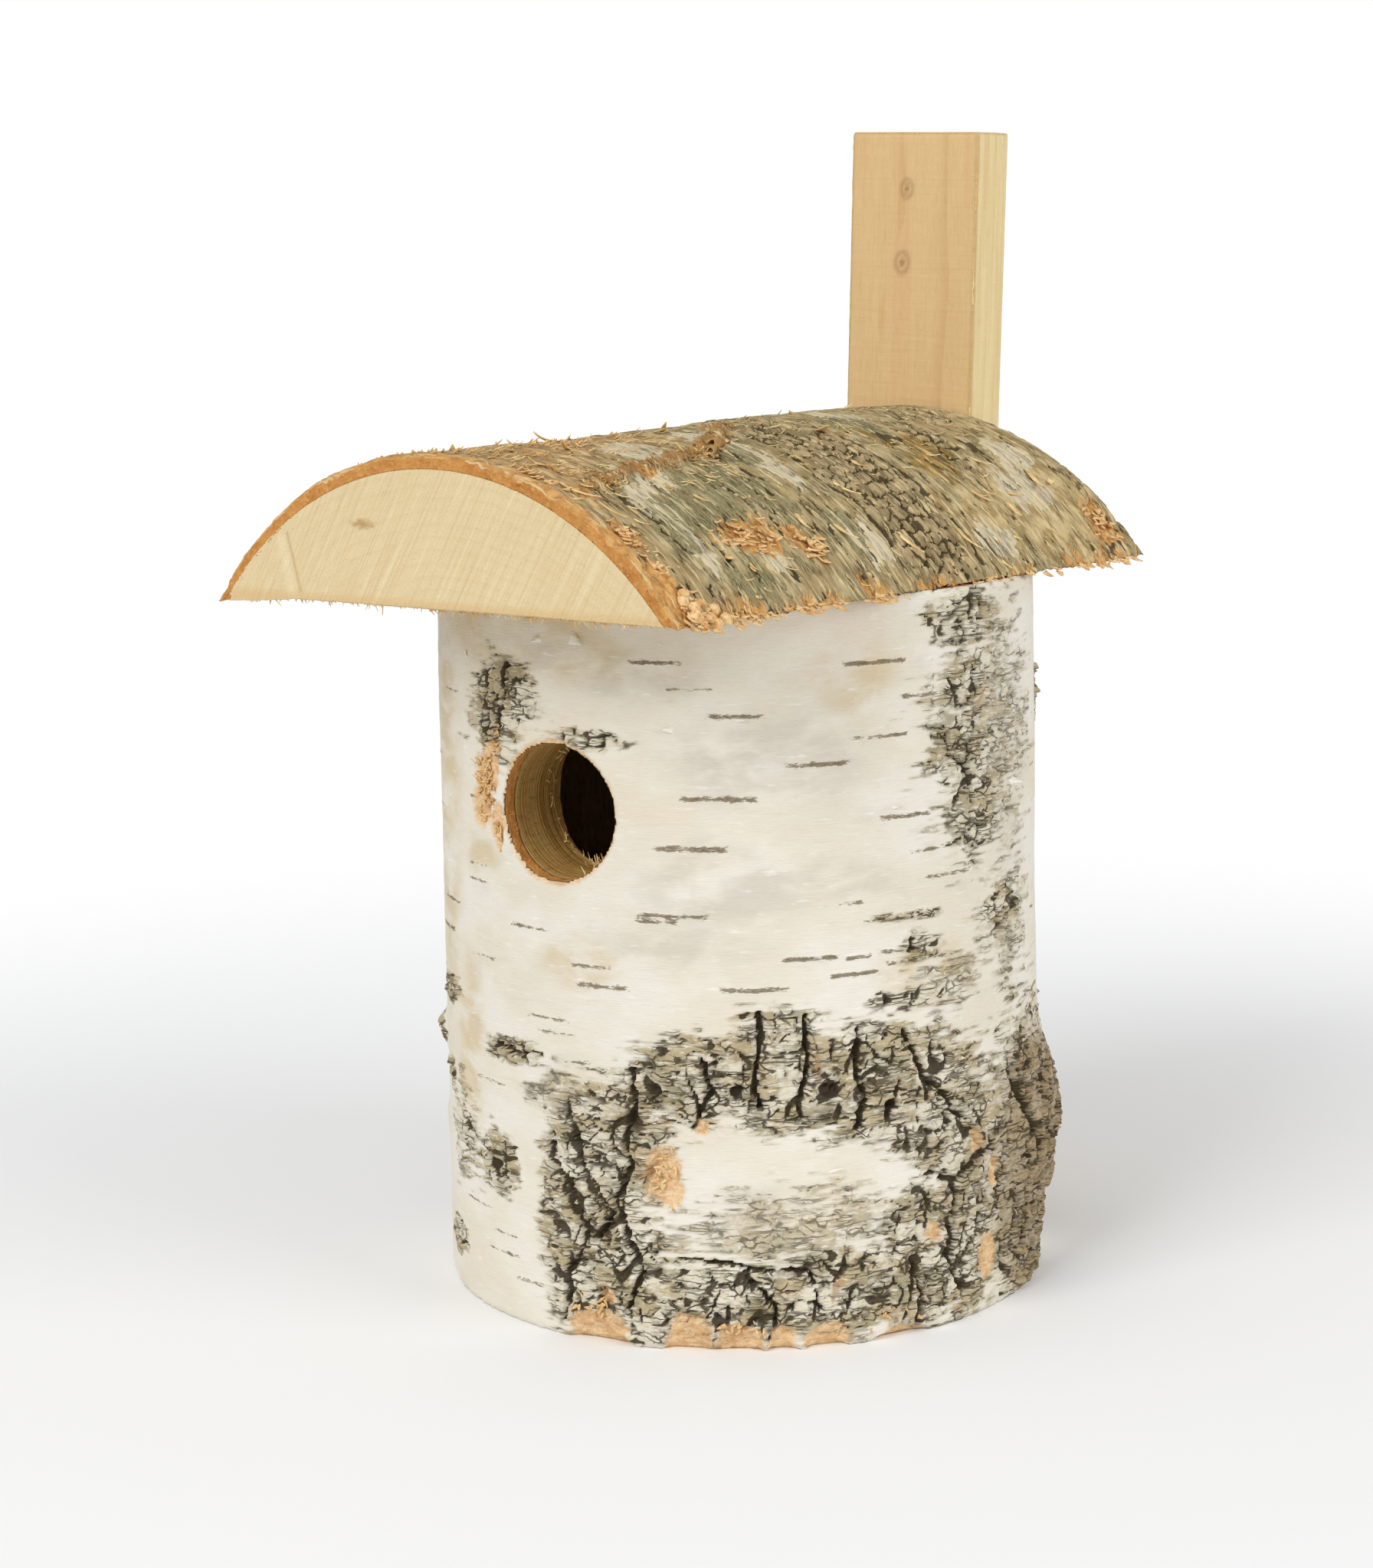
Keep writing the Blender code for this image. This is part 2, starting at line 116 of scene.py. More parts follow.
# ---------------------------------------------------------------- patterns on grids
def hashed(ix, iy, seed):
    """A repeatable random number from 0 to 1 for each pair of whole numbers."""
    h = (ix.astype(np.int64) * 374761393 + iy.astype(np.int64) * 668265263 + seed * 974711)
    h = h & 0xFFFFFFFF
    h = ((h ^ (h >> 13)) * 1274126177) & 0xFFFFFFFF
    h = ((h ^ (h >> 16)) * 374761393) & 0xFFFFFFFF
    return (h ^ (h >> 15)) / 4294967295.0


def gradient_noise(x, y, seed, wrap=0):
    """Smooth noise from about -1 to 1, one bump per unit; x repeats after wrap units."""
    x0 = np.floor(x)
    y0 = np.floor(y)
    fx = x - x0
    fy = y - y0
    sx = fx * fx * fx * (fx * (fx * 6 - 15) + 10)
    sy = fy * fy * fy * (fy * (fy * 6 - 15) + 10)

    def corner(dx, dy):
        ix = x0 + dx
        if wrap:
            ix = np.mod(ix, wrap)
        angle = hashed(ix, y0 + dy, seed) * math.tau
        return np.cos(angle) * (fx - dx) + np.sin(angle) * (fy - dy)

    low = corner(0, 0) * (1 - sx) + corner(1, 0) * sx
    high = corner(0, 1) * (1 - sx) + corner(1, 1) * sx
    return (low * (1 - sy) + high * sy) * 1.5


def smooth(low, high, value):
    """0 below low, 1 above high, and an S curve between."""
    t = np.clip((value - low) / (high - low), 0.0, 1.0)
    return t * t * (3 - 2 * t)


class Patch:
    """Points of a surface, u across and v along in metres, and patterns on them."""

    def __init__(self, u, v, around=0.0):
        self.u = u
        self.v = v
        self.around = around          # length after which u comes back to itself, or 0

    def _scaled(self, size):
        """u in cells of about that size, and after how many cells it repeats."""
        if not self.around:
            return self.u / size, 0
        count = max(int(round(self.around / size)), 1)
        return self.u / self.around * count, count

    def noise(self, size_u, size_v, seed, octaves=1, fade=0.5):
        total = np.zeros_like(self.u)
        weight = 1.0
        reach = 0.0
        for octave in range(octaves):
            x, wrap = self._scaled(size_u / 2 ** octave)
            y = self.v / (size_v / 2 ** octave)
            total += weight * gradient_noise(x, y, seed + 17 * octave, wrap)
            reach += weight
            weight *= fade
        return total / reach

    def ridges(self, size_u, size_v, seed):
        """1 along thin wandering lines, falling to 0 between them."""
        return 1 - np.minimum(np.abs(self.noise(size_u, size_v, seed)) * 2.5, 1.0)

    def cells(self, size_u, size_v, seed):
        """A cracked pattern: 0 on the cracks to 1 inside, and each plate's own number."""
        x, wrap = self._scaled(size_u)
        y = self.v / size_v
        x0 = np.floor(x)
        y0 = np.floor(y)
        nearest = np.full_like(x, 9.0)
        second = np.full_like(x, 9.0)
        number = np.zeros_like(x)
        for dx in (-1, 0, 1):
            for dy in (-1, 0, 1):
                ix = x0 + dx
                iy = y0 + dy
                key = np.mod(ix, wrap) if wrap else ix
                px = ix + 0.15 + 0.7 * hashed(key, iy, seed)
                py = iy + 0.15 + 0.7 * hashed(key, iy, seed + 1)
                distance = np.hypot(x - px, y - py)
                closer = distance < nearest
                second = np.where(closer, nearest, np.minimum(second, distance))
                number = np.where(closer, hashed(key, iy, seed + 2), number)
                nearest = np.where(closer, distance, nearest)
        return second - nearest, number

    def away(self, u, v):
        """Distances from a point, across and along."""
        du = self.u - u
        if self.around:
            du = np.mod(du + self.around / 2, self.around) - self.around / 2
        return du, self.v - v

    def blob(self, u, v, half_u, half_v):
        """1 at a point, 0 on the ellipse around it, and negative outside."""
        du, dv = self.away(u, v)
        return 1 - np.hypot(du / half_u, dv / half_v)

    def blobs(self, places):
        """The highest of several blobs at each point."""
        field = np.full_like(self.u, -9.0)
        for place in places:
            field = np.maximum(field, self.blob(*place))
        return field

    def stroke(self, points):
        """Distance to a line through points."""
        best = np.full_like(self.u, 1.0)
        for (u1, v1), (u2, v2) in zip(points, points[1:]):
            du, dv = self.away(u1, v1)
            length = math.hypot(u2 - u1, v2 - v1)
            ex = (u2 - u1) / length
            ey = (v2 - v1) / length
            along = np.clip(du * ex + dv * ey, 0.0, length)
            best = np.minimum(best, np.hypot(du - along * ex, dv - along * ey))
        return best


# ---------------------------------------------------------------- meshes from grids
def grid_faces(rows, columns, wrap, start=0):
    """Quads of a grid whose points are numbered row by row."""
    reach = columns if wrap else columns - 1
    row = np.arange(rows - 1)[:, None]
    column = np.arange(reach)[None, :]
    right = (column + 1) % columns
    a = row * columns + column
    b = row * columns + right
    c = (row + 1) * columns + right
    d = (row + 1) * columns + column
    return np.stack([a, b, c, d], -1).reshape(-1, 4) + start


def ring_faces(rows, columns):
    """Quads of a grid that closes on itself both ways, like a tyre."""
    row = np.arange(rows)[:, None]
    column = np.arange(columns)[None, :]
    below = (row + 1) % rows
    right = (column + 1) % columns
    corners = [row * columns + column, row * columns + right,
               below * columns + right, below * columns + column]
    return np.stack(corners, -1).reshape(-1, 4)


class Block:
    """A block of material as grids on its six sides: a, b and c run from 0 to 1 through it.

    The side at c = 0 is out of sight or plain, and is spanned by strips that run along b.
    """

    def __init__(self, across, along, through):
        shape = (across, along, through)
        shown = np.ones(shape, bool)
        shown[1:-1, 1:-1, :-1] = False
        number = np.full(shape, -1)
        number[shown] = np.arange(shown.sum())
        self.a, self.b, self.c = (np.argwhere(shown) / (np.array(shape) - 1.0)).T
        sides = [self._side(number[:, :, -1], False),
                 self._side(number[0, :, :], True), self._side(number[-1, :, :], False),
                 self._side(number[:, 0, :], False), self._side(number[:, -1, :], True)]
        self.quads = np.concatenate(sides)
        hidden = number[:, :, 0]
        self.strips = [[hidden[i, 0], hidden[i, -1], hidden[i + 1, -1], hidden[i + 1, 0]]
                       for i in range(1, across - 2)]
        self.strips.append([hidden[1, -1], hidden[1, 0]] + list(hidden[0, :]))
        self.strips.append(list(hidden[-1, ::-1]) + [hidden[-2, 0], hidden[-2, -1]])

    def _side(self, number, flip):
        corners = [number[:-1, :-1], number[1:, :-1], number[1:, 1:], number[:-1, 1:]]
        if flip:
            corners.reverse()
        return np.stack(corners, -1).reshape(-1, 4)


class Pile:
    """Many small closed shapes that make one piece."""

    def __init__(self):
        self.points = []
        self.faces = []

    def add(self, points, faces):
        start = len(self.points)
        self.points.extend(map(tuple, points))
        self.faces.extend([int(i) + start for i in face] for face in faces)

    def ribbon(self, path, side, widths, thickness):
        """A flat strip along a path, with its width at each point of it."""
        path = np.asarray(path, float)
        side = np.asarray(side, float)
        along = np.gradient(path, axis=0)
        up = np.cross(along, side)
        up /= np.maximum(np.linalg.norm(up, axis=1, keepdims=True), 1e-9)
        half = side * np.asarray(widths)[:, None] / 2
        lift = up * thickness / 2
        corners = np.stack([path + half + lift, path - half + lift,
                            path - half - lift, path + half - lift], 1)
        last = (len(path) - 1) * 4
        caps = [[3, 2, 1, 0], [last, last + 1, last + 2, last + 3]]
        self.add(corners.reshape(-1, 3), grid_faces(len(path), 4, wrap=True).tolist() + caps)

    def keep_inside(self):
        """Brings points that stray past the CAD's box back to it."""
        margin = 0.05 * MM
        low = np.array(CAD_LOW) + margin
        high = np.array(CAD_HIGH) - margin
        self.points = [tuple(p) for p in np.clip(np.array(self.points), low, high)]

    def mesh(self, name, material):
        mesh = bpy.data.meshes.new(name)
        mesh.from_pydata(self.points, [], self.faces)
        mesh.materials.append(material)
        mesh.shade_smooth()
        return mesh


def build_mesh(name, points, quads, polygons=()):
    """A mesh of many quads, shaded smooth, and a few larger polygons, which stay flat."""
    mesh = bpy.data.meshes.new(name)
    mesh.vertices.add(len(points))
    mesh.vertices.foreach_set("co", np.asarray(points, np.float32).ravel())
    corners = [quads.ravel()] + [np.asarray(p) for p in polygons]
    sizes = np.concatenate([np.full(len(quads), 4), [len(p) for p in polygons]]).astype(int)
    flat = np.concatenate(corners).astype(np.int32)
    starts = np.concatenate([[0], np.cumsum(sizes)[:-1]]).astype(np.int32)
    mesh.loops.add(len(flat))
    mesh.loops.foreach_set("vertex_index", flat)
    mesh.polygons.add(len(sizes))
    mesh.polygons.foreach_set("loop_start", starts)
    mesh.update(calc_edges=True)
    mesh.validate()
    mesh.shade_smooth()
    sharp = mesh.attributes.new("sharp_face", 'BOOLEAN', 'FACE')
    sharp.data.foreach_set("value", np.arange(len(mesh.polygons)) >= len(quads))
    return mesh


def face_outwards(mesh):
    """Turns a closed mesh right side out."""
    bm = bmesh.new()
    bm.from_mesh(mesh)
    if bm.calc_volume(signed=True) < 0:
        bmesh.ops.reverse_faces(bm, faces=bm.faces)
        bm.to_mesh(mesh)
    bm.free()


def tube_mesh(name, points, rows, columns):
    """A tube of rings with its two ends closed."""
    first = list(range(columns))
    final = list(range((rows - 1) * columns, rows * columns))
    mesh = build_mesh(name, points, grid_faces(rows, columns, wrap=True), [first[::-1], final])
    face_outwards(mesh)
    return mesh


def full_turn(columns):
    """The angles of that many places around a circle, from 0."""
    return np.arange(columns) / columns * math.tau


def set_colors(mesh, name, red, green, blue):
    """Writes three patterns on the points as one colour attribute."""
    layer = mesh.color_attributes.new(name, 'FLOAT_COLOR', 'POINT')
    data = np.ones((len(mesh.vertices), 4), np.float32)
    data[:, 0] = red
    data[:, 1] = green
    data[:, 2] = blue
    layer.data.foreach_set("color", data.ravel())


def set_coords(mesh, name, coords):
    """Writes a surface's own coordinates on the points."""
    layer = mesh.attributes.new(name, 'FLOAT_VECTOR', 'POINT')
    layer.data.foreach_set("vector", np.asarray(coords, np.float32).ravel())


def show(name, mesh, body=BODY, replaces=()):
    """Puts a finished piece in the scene and on its body, and hides the CAD parts it replaces."""
    piece = bpy.data.objects.new(name, mesh)
    bpy.context.scene.collection.objects.link(piece)
    if replaces:
        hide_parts(*replaces)
    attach(piece, body)
    return piece


# ---------------------------------------------------------------- material graphs
class Graph:
    """One material's nodes, built in the order that they are read."""

    def __init__(self, name, roughness=0.8):
        self.material = bpy.data.materials.new(name)
        self.material.use_nodes = True
        self.tree = self.material.node_tree
        self.shader = self.tree.nodes["Principled BSDF"]
        self.shader.inputs["Roughness"].default_value = roughness
        self.shader.inputs["Specular IOR Level"].default_value = 0.25

    def node(self, kind, inputs=(), **settings):
        node = self.tree.nodes.new(kind)
        for key, value in settings.items():
            setattr(node, key, value)
        for key, value in dict(inputs).items():
            self.feed(node.inputs[key], value)
        return node

    def feed(self, socket, value):
        if isinstance(value, bpy.types.NodeSocket):
            self.tree.links.new(value, socket)
        else:
            socket.default_value = value

    def coords(self, name):
        """A vector attribute of the mesh, or the object's own coordinates."""
        if name == "object":
            return self.node("ShaderNodeTexCoord").outputs["Object"]
        return self.node("ShaderNodeAttribute", attribute_name=name).outputs["Vector"]

    def channels(self, name):
        """The three patterns of a colour attribute."""
        color = self.node("ShaderNodeAttribute", attribute_name=name).outputs["Color"]
        split = self.node("ShaderNodeSeparateColor", {"Color": color})
        return split.outputs["Red"], split.outputs["Green"], split.outputs["Blue"]

    def sized(self, coords, size):
        scale = tuple(1 / s for s in size)
        node = self.node("ShaderNodeVectorMath", {0: coords, 1: scale}, operation='MULTIPLY')
        return node.outputs[0]

    def noise(self, coords, size, detail=3.0, rough=0.55, warp=0.0):
        """Noise from 0 to 1 whose features have a size in metres along each axis."""
        node = self.node("ShaderNodeTexNoise", {"Vector": self.sized(coords, size), "Scale": 1.0,
                                                "Detail": detail, "Roughness": rough,
                                                "Distortion": warp})
        return node.outputs["Fac"]

    def cracks(self, coords, size):
        """Distance to the edges of a cracked pattern."""
        node = self.node("ShaderNodeTexVoronoi", {"Vector": self.sized(coords, size), "Scale": 1.0},
                         feature='DISTANCE_TO_EDGE')
        return node.outputs["Distance"]

    def warp(self, coords, size, reach):
        """Coordinates shifted about by noise, so that patterns on them wander."""
        node = self.node("ShaderNodeTexNoise", {"Vector": self.sized(coords, (size, size, 1.0)),
                                                "Scale": 1.0, "Detail": 2.0})
        shift = self.node("ShaderNodeVectorMath", {0: node.outputs["Color"], 1: (0.5, 0.5, 0.5)},
                          operation='SUBTRACT').outputs[0]
        shift = self.node("ShaderNodeVectorMath", {0: shift, 1: (reach * 2, reach * 2, 0.0)},
                          operation='MULTIPLY').outputs[0]
        return self.node("ShaderNodeVectorMath", {0: coords, 1: shift},
                         operation='ADD').outputs[0]

    def math(self, operation, a, b=0.0, c=0.0):
        node = self.node("ShaderNodeMath", {0: a, 1: b, 2: c}, operation=operation)
        return node.outputs[0]

    def step(self, value, low, high):
        """0 below low and 1 above high, or the other way round if low is the larger."""
        node = self.node("ShaderNodeMapRange", {"Value": value, "From Min": low, "From Max": high},
                         interpolation_type='SMOOTHSTEP')
        return node.outputs["Result"]

    def mix(self, share, a, b, blend='MIX'):
        node = self.node("ShaderNodeMix", data_type='RGBA', blend_type=blend)
        self.feed(node.inputs[0], share)
        self.feed(node.inputs[6], a)
        self.feed(node.inputs[7], b)
        return node.outputs[2]

    def tint(self, color, share, amount, over):
        """A colour with another laid over it: where the share is 1, by that amount."""
        return self.mix(self.math('MULTIPLY', share, amount), color, over)

    def axis(self, coords, name):
        return self.node("ShaderNodeSeparateXYZ", {"Vector": coords}).outputs[name]

    def finish(self, color, roughness=None, height=None, bump=0.0):
        """Links the colour, and the roughness and the bump where there are any."""
        self.feed(self.shader.inputs["Base Color"], color)
        if roughness is not None:
            self.feed(self.shader.inputs["Roughness"], roughness)
        if height is not None:
            node = self.node("ShaderNodeBump", {"Height": height, "Strength": 1.0,
                                                "Distance": bump})
            self.feed(self.shader.inputs["Normal"], node.outputs["Normal"])
        return self.material


_made = {}


def once(maker):
    """Makes a material the first time it is asked for, and gives the same one after."""
    def get():
        if maker.__name__ not in _made:
            _made[maker.__name__] = maker()
        return _made[maker.__name__]
    return get


# ---------------------------------------------------------------- camera and light
CAMERA_AZIMUTH = math.radians(39.46)
CAMERA_PITCH = math.radians(9.62)
CAMERA_ROLL = math.radians(-1.08)
CAMERA_DISTANCE = 795.4 * MM
CAMERA_AIM_RIGHT = -13.5 * MM          # the aim's distance right of the log's axis
CAMERA_AIM_Z = 128.4 * MM
CAMERA_LENS = 69.23                    # in mm, on a 36 mm sensor
PAPER_FADE = (0.17, 0.62)              # radii between which the floor turns to backdrop


def add_camera():
    """The camera that the photo's outline was fitted with."""
    right = Vector((math.cos(CAMERA_AZIMUTH), math.sin(CAMERA_AZIMUTH), 0.0))
    back = Vector((math.sin(CAMERA_AZIMUTH) * math.cos(CAMERA_PITCH),
                   -math.cos(CAMERA_AZIMUTH) * math.cos(CAMERA_PITCH),
                   math.sin(CAMERA_PITCH)))
    up = back.cross(right)
    rolled_right = right * math.cos(CAMERA_ROLL) + up * math.sin(CAMERA_ROLL)
    rolled_up = up * math.cos(CAMERA_ROLL) - right * math.sin(CAMERA_ROLL)
    aim = Vector((0.0, AXIS_Y, CAMERA_AIM_Z)) + right * CAMERA_AIM_RIGHT
    turn = Matrix((rolled_right, rolled_up, back)).transposed().to_4x4()
    data = bpy.data.cameras.new("camera")
    data.lens = CAMERA_LENS
    data.sensor_width = 36.0
    data.clip_start = 0.01
    data.clip_end = 50.0
    camera = bpy.data.objects.new("camera", data)
    camera.matrix_world = Matrix.Translation(aim + back * CAMERA_DISTANCE) @ turn
    bpy.context.scene.collection.objects.link(camera)
    bpy.context.scene.camera = camera


def add_lamp(name, azimuth, height, distance, size, power):
    """A square soft lamp that looks at the middle of the object."""
    data = bpy.data.lights.new(name, 'AREA')
    data.size = size
    data.energy = power
    lamp = bpy.data.objects.new(name, data)
    turn = math.radians(azimuth)
    lamp.location = (math.sin(turn) * distance, -math.cos(turn) * distance, height)
    aim = Vector((0.0, 0.0, (CAD_LOW[2] + CAD_HIGH[2]) / 2)) - lamp.location
    lamp.rotation_euler = aim.to_track_quat('-Z', 'Y').to_euler()
    bpy.context.scene.collection.objects.link(lamp)


def add_backdrop():
    """A soft white surround, which is plain white where the camera sees it."""
    world = bpy.data.worlds.new("studio")
    world.use_nodes = True
    bpy.context.scene.world = world
    tree = world.node_tree
    surround = tree.nodes["Background"]
    surround.inputs["Color"].default_value = (0.98, 0.99, 1.0, 1.0)
    surround.inputs["Strength"].default_value = 0.60
    white = tree.nodes.new("ShaderNodeBackground")
    white.inputs["Color"].default_value = (1.0, 1.0, 1.0, 1.0)
    white.inputs["Strength"].default_value = 1.0
    path = tree.nodes.new("ShaderNodeLightPath")
    mix = tree.nodes.new("ShaderNodeMixShader")
    tree.links.new(path.outputs["Is Camera Ray"], mix.inputs[0])
    tree.links.new(surround.outputs[0], mix.inputs[1])
    tree.links.new(white.outputs[0], mix.inputs[2])
    tree.links.new(mix.outputs[0], tree.nodes["World Output"].inputs["Surface"])


def paper_material():
    """Pale paper that fades into the white backdrop away from the object."""
    g = Graph("studio_paper", 0.95)
    g.shader.inputs["Specular IOR Level"].default_value = 0.0
    place = g.coords("object")
    grain = g.noise(place, (0.4, 0.4, 0.4), 2.0)
    paper = g.mix(grain, (0.93, 0.93, 0.93, 1.0), (0.95, 0.95, 0.95, 1.0))
    radius = g.node("ShaderNodeVectorMath", {0: place}, operation='LENGTH').outputs["Value"]
    above = g.math('SUBTRACT', 1.0, g.node("ShaderNodeNewGeometry", {}).outputs["Backfacing"])
    near = g.step(radius, PAPER_FADE[1], PAPER_FADE[0])
    g.feed(g.shader.inputs["Alpha"], g.math('MULTIPLY', near, above))
    return g.finish(paper)


def add_paper():
    """A disc of pale paper on the plane that the log stands on."""
    bm = bmesh.new()
    bmesh.ops.create_circle(bm, cap_ends=True, segments=96, radius=PAPER_FADE[1] + 0.05)
    mesh = bpy.data.meshes.new("studio_paper")
    bm.to_mesh(mesh)
    bm.free()
    mesh.materials.append(paper_material())
    paper = bpy.data.objects.new("studio_paper", mesh)
    bpy.context.scene.collection.objects.link(paper)


def add_studio():
    """White backdrop, a soft key from the front left and a fill from the right."""
    bpy.context.scene.view_settings.view_transform = 'Standard'
    add_backdrop()
    add_lamp("key", azimuth=-2, height=1.7, distance=2.5, size=1.5, power=42.0)
    add_lamp("fill", azimuth=98, height=0.9, distance=2.6, size=1.6, power=29.0)
    add_paper()


# ---------------------------------------------------------------- bark of the log
def at(degrees, height_mm):
    """A place on the log: degrees from the front towards +X, millimetres above the base."""
    return math.radians(degrees) * LOG_RADIUS, height_mm * MM


def patch_at(degrees, height_mm, half_degrees, half_mm):
    """A blob's place and half sizes on the log."""
    u, v = at(degrees, height_mm)
    return u, v, math.radians(half_degrees) * LOG_RADIUS, half_mm * MM


# Where the bark is corky and cracked: degrees, height, half width in degrees, half height.
CORKY = [
    (6, 30, 8, 34), (15, 50, 11, 20), (29, 68, 12, 12), (45, 70, 15, 15), (62, 66, 15, 16),
    (76, 58, 12, 20), (84, 34, 9, 38), (108, 34, 25, 44), (34, 12, 15, 12), (55, 13, 14, 13),
    (72, 13, 12, 13), (16, 18, 9, 22), (70, 30, 7, 10),
    (-9, 161, 9, 9), (-11, 150, 6, 9), (10, 151, 9, 2.5), (84, 178, 9, 8), (84, 161, 7, 8),
    (84, 146, 9, 10), (87, 130, 8, 12), (73, 98, 5, 4), (70, 106, 7, 1.6), (70, 86, 9, 2),
    (96, 104, 7, 5), (-14, 40, 7, 9), (-26, 44, 4, 7), (-9, 71, 8, 3.6), (-36, 80, 8, 4),
    (-36, 58, 4, 4), (-34, 14, 6, 5), (45, 83, 8, 4),
    (150, 28, 22, 30), (168, 118, 7, 14), (-152, 26, 18, 22), (-122, 62, 8, 9),
    (-96, 152, 7, 8), (-84, 32, 12, 17), (-168, 96, 8, 10), (132, 150, 8, 12),
    (148, 92, 6, 7), (-135, 128, 6, 5), (-64, 108, 6, 3), (-50, 65, 5, 5),
]
# Old bark that is rough without being corky: the cracks there are fewer and paler.
WEATHERED = [(93, 150, 20, 42), (98, 100, 14, 20), (48, 30, 30, 14), (-28, 44, 10, 16),
             (80, 88, 12, 8), (4, 62, 12, 8), (-12, 156, 12, 14), (150, 70, 24, 16),
             (-150, 60, 20, 14), (-90, 60, 14, 12)]
# Tints of the clean bark: warm places and grey ones.
WARM = [(-8, 177, 26, 11), (12, 170, 10, 6), (-34, 130, 9, 60), (60, 166, 9, 12), (8, 96, 10, 7),
        (-24, 70, 7, 26), (74, 92, 12, 8), (-17, 118, 6, 5), (170, 160, 20, 20),
        (-120, 40, 20, 20)]
GREY = [(44, 146, 22, 14), (36, 116, 20, 12), (20, 166, 16, 7), (58, 118, 14, 6),
        (28, 101, 16, 7), (-2, 172, 12, 5), (100, 140, 12, 30), (38, 34, 12, 8),
        (-100, 120, 20, 24), (150, 120, 20, 20)]
# Clean bark left standing inside the corky arch.
CLEAN_ISLANDS = [(47, 37, 18, 12), (38, 33, 10, 9), (64, 41, 9, 6), (30, 26, 5, 4)]
# Deep dark fissures: a half width in mm, then points in degrees and height.
FISSURES = [
    (1.1, [(1, 52), (1, 45), (5, 40), (6, 33), (9, 29), (8, 24), (5, 18), (4, 8), (2, 1)]),
    (0.9, [(5, 60), (7, 52), (8, 45), (11, 40), (14, 33), (11, 27)]),
    (1.0, [(18, 72), (19, 62), (17, 54), (18, 46), (15, 38), (17, 28), (20, 20), (17, 10)]),
    (0.8, [(31, 74), (33, 66), (31, 61), (29, 56)]),
    (0.7, [(41, 87), (42, 80), (41, 70), (41, 62)]),
    (0.8, [(50, 84), (50, 74), (49, 64)]),
    (0.8, [(60, 80), (59, 70), (61, 62), (59, 55)]),
    (0.9, [(69, 78), (73, 66), (77, 61), (80, 55), (85, 51), (88, 44)]),
    (1.2, [(91, 42), (86, 41), (80, 37), (74, 40)]),
    (1.2, [(80, 37), (80, 28), (79, 18), (82, 8)]),
    (1.7, [(98, 60), (101, 51), (105, 45), (108, 36)]),
    (2.0, [(113, 44), (112, 30), (113, 16), (110, 4)]),
    (1.6, [(122, 56), (120, 38), (123, 20)]),
    (0.6, [(22, 25), (32, 23), (41, 21), (50, 20), (52, 10)]),
    (0.6, [(40, 18), (44, 12), (43, 3)]),
    (0.6, [(70, 20), (72, 10), (71, 1)]),
    (0.7, [(-8, 168), (-9, 160), (-11, 152), (-12, 146)]),
    (0.6, [(-13, 163), (-15, 158), (-14, 150)]),
    (0.5, [(-18, 72), (-11, 71), (-4, 71), (0, 72)]),
    (0.4, [(-8, 75), (-9, 70), (-12, 67)]),
    (0.5, [(89, 182), (88, 172)]),
    (0.6, [(87, 164), (86, 158), (83, 152)]),
    (0.6, [(79, 150), (80, 144), (85, 140), (86, 132)]),
    (1.4, [(150, 50), (148, 34), (151, 18), (149, 2)]),
    (1.2, [(-150, 44), (-153, 28), (-150, 6)]),
    (1.0, [(-84, 46), (-86, 30), (-83, 16)]),
    (0.8, [(168, 130), (166, 118), (169, 104)]),
]
# Lenticels, the dark dashes across the bark: degrees, height, half length in degrees,
# half height in mm, darkness.
LENTICELS = [
    (24, 170.3, 6, 0.35, 0.8), (30, 164, 5, 0.3, 0.6), (38, 157.5, 6, 0.4, 0.85),
    (64, 169, 7, 0.5, 0.9), (65, 151, 6.5, 0.35, 0.8), (53, 145.3, 7, 0.6, 0.8),
    (35, 137.6, 8, 0.8, 0.8), (30, 125.5, 7.5, 0.7, 0.9), (26, 109, 8, 0.5, 0.8),
    (23, 107.6, 5, 0.4, 0.7), (51, 98.2, 6, 0.5, 0.9), (60, 97.5, 3, 0.4, 0.8),
    (71, 98, 8, 0.6, 0.8), (73, 95, 9, 0.5, 0.7), (68, 106.3, 8, 0.6, 0.9),
    (41, 91, 7, 0.6, 0.9), (13, 90.7, 6, 0.6, 0.8), (11, 95.4, 5, 0.4, 0.7),
    (59, 93.5, 6, 0.5, 0.8), (69, 86, 8, 0.8, 0.9), (-3, 103, 6, 0.35, 0.65),
    (-19, 112, 4.5, 0.4, 0.7), (-19, 116, 4, 0.3, 0.6), (-18, 92.6, 5, 0.35, 0.65),
    (1, 81, 6, 0.4, 0.6), (3, 77.5, 5.5, 0.4, 0.6), (70, 131, 6, 0.6, 0.8),
    (77, 122, 7, 0.7, 0.65), (80, 115, 7, 0.6, 0.6), (74, 160, 6, 0.5, 0.8),
    (-30, 158.5, 5, 0.3, 0.6), (-18, 133, 4, 0.3, 0.6), (-16, 61, 6, 0.35, 0.6),
    (-13, 17, 6, 0.3, 0.65), (-12, 22, 5, 0.3, 0.6), (-5, 11.5, 5, 0.35, 0.7),
    (-22, 27, 7, 0.35, 0.6), (-32, 104, 6, 0.4, 0.7), (-36, 96, 6, 0.6, 0.75),
    (44, 32, 8, 0.35, 0.6), (38, 40, 8, 0.4, 0.5), (60, 31, 8, 0.4, 0.6),
    (57, 111, 5, 0.8, 0.5), (-25, 52, 6, 0.35, 0.6), (-40, 127, 5, 0.4, 0.6),
    (-44, 140, 4, 0.3, 0.6), (12, 64, 6, 0.4, 0.7), (7, 71, 5, 0.35, 0.6),
]
LENTICELS_BEHIND = 46
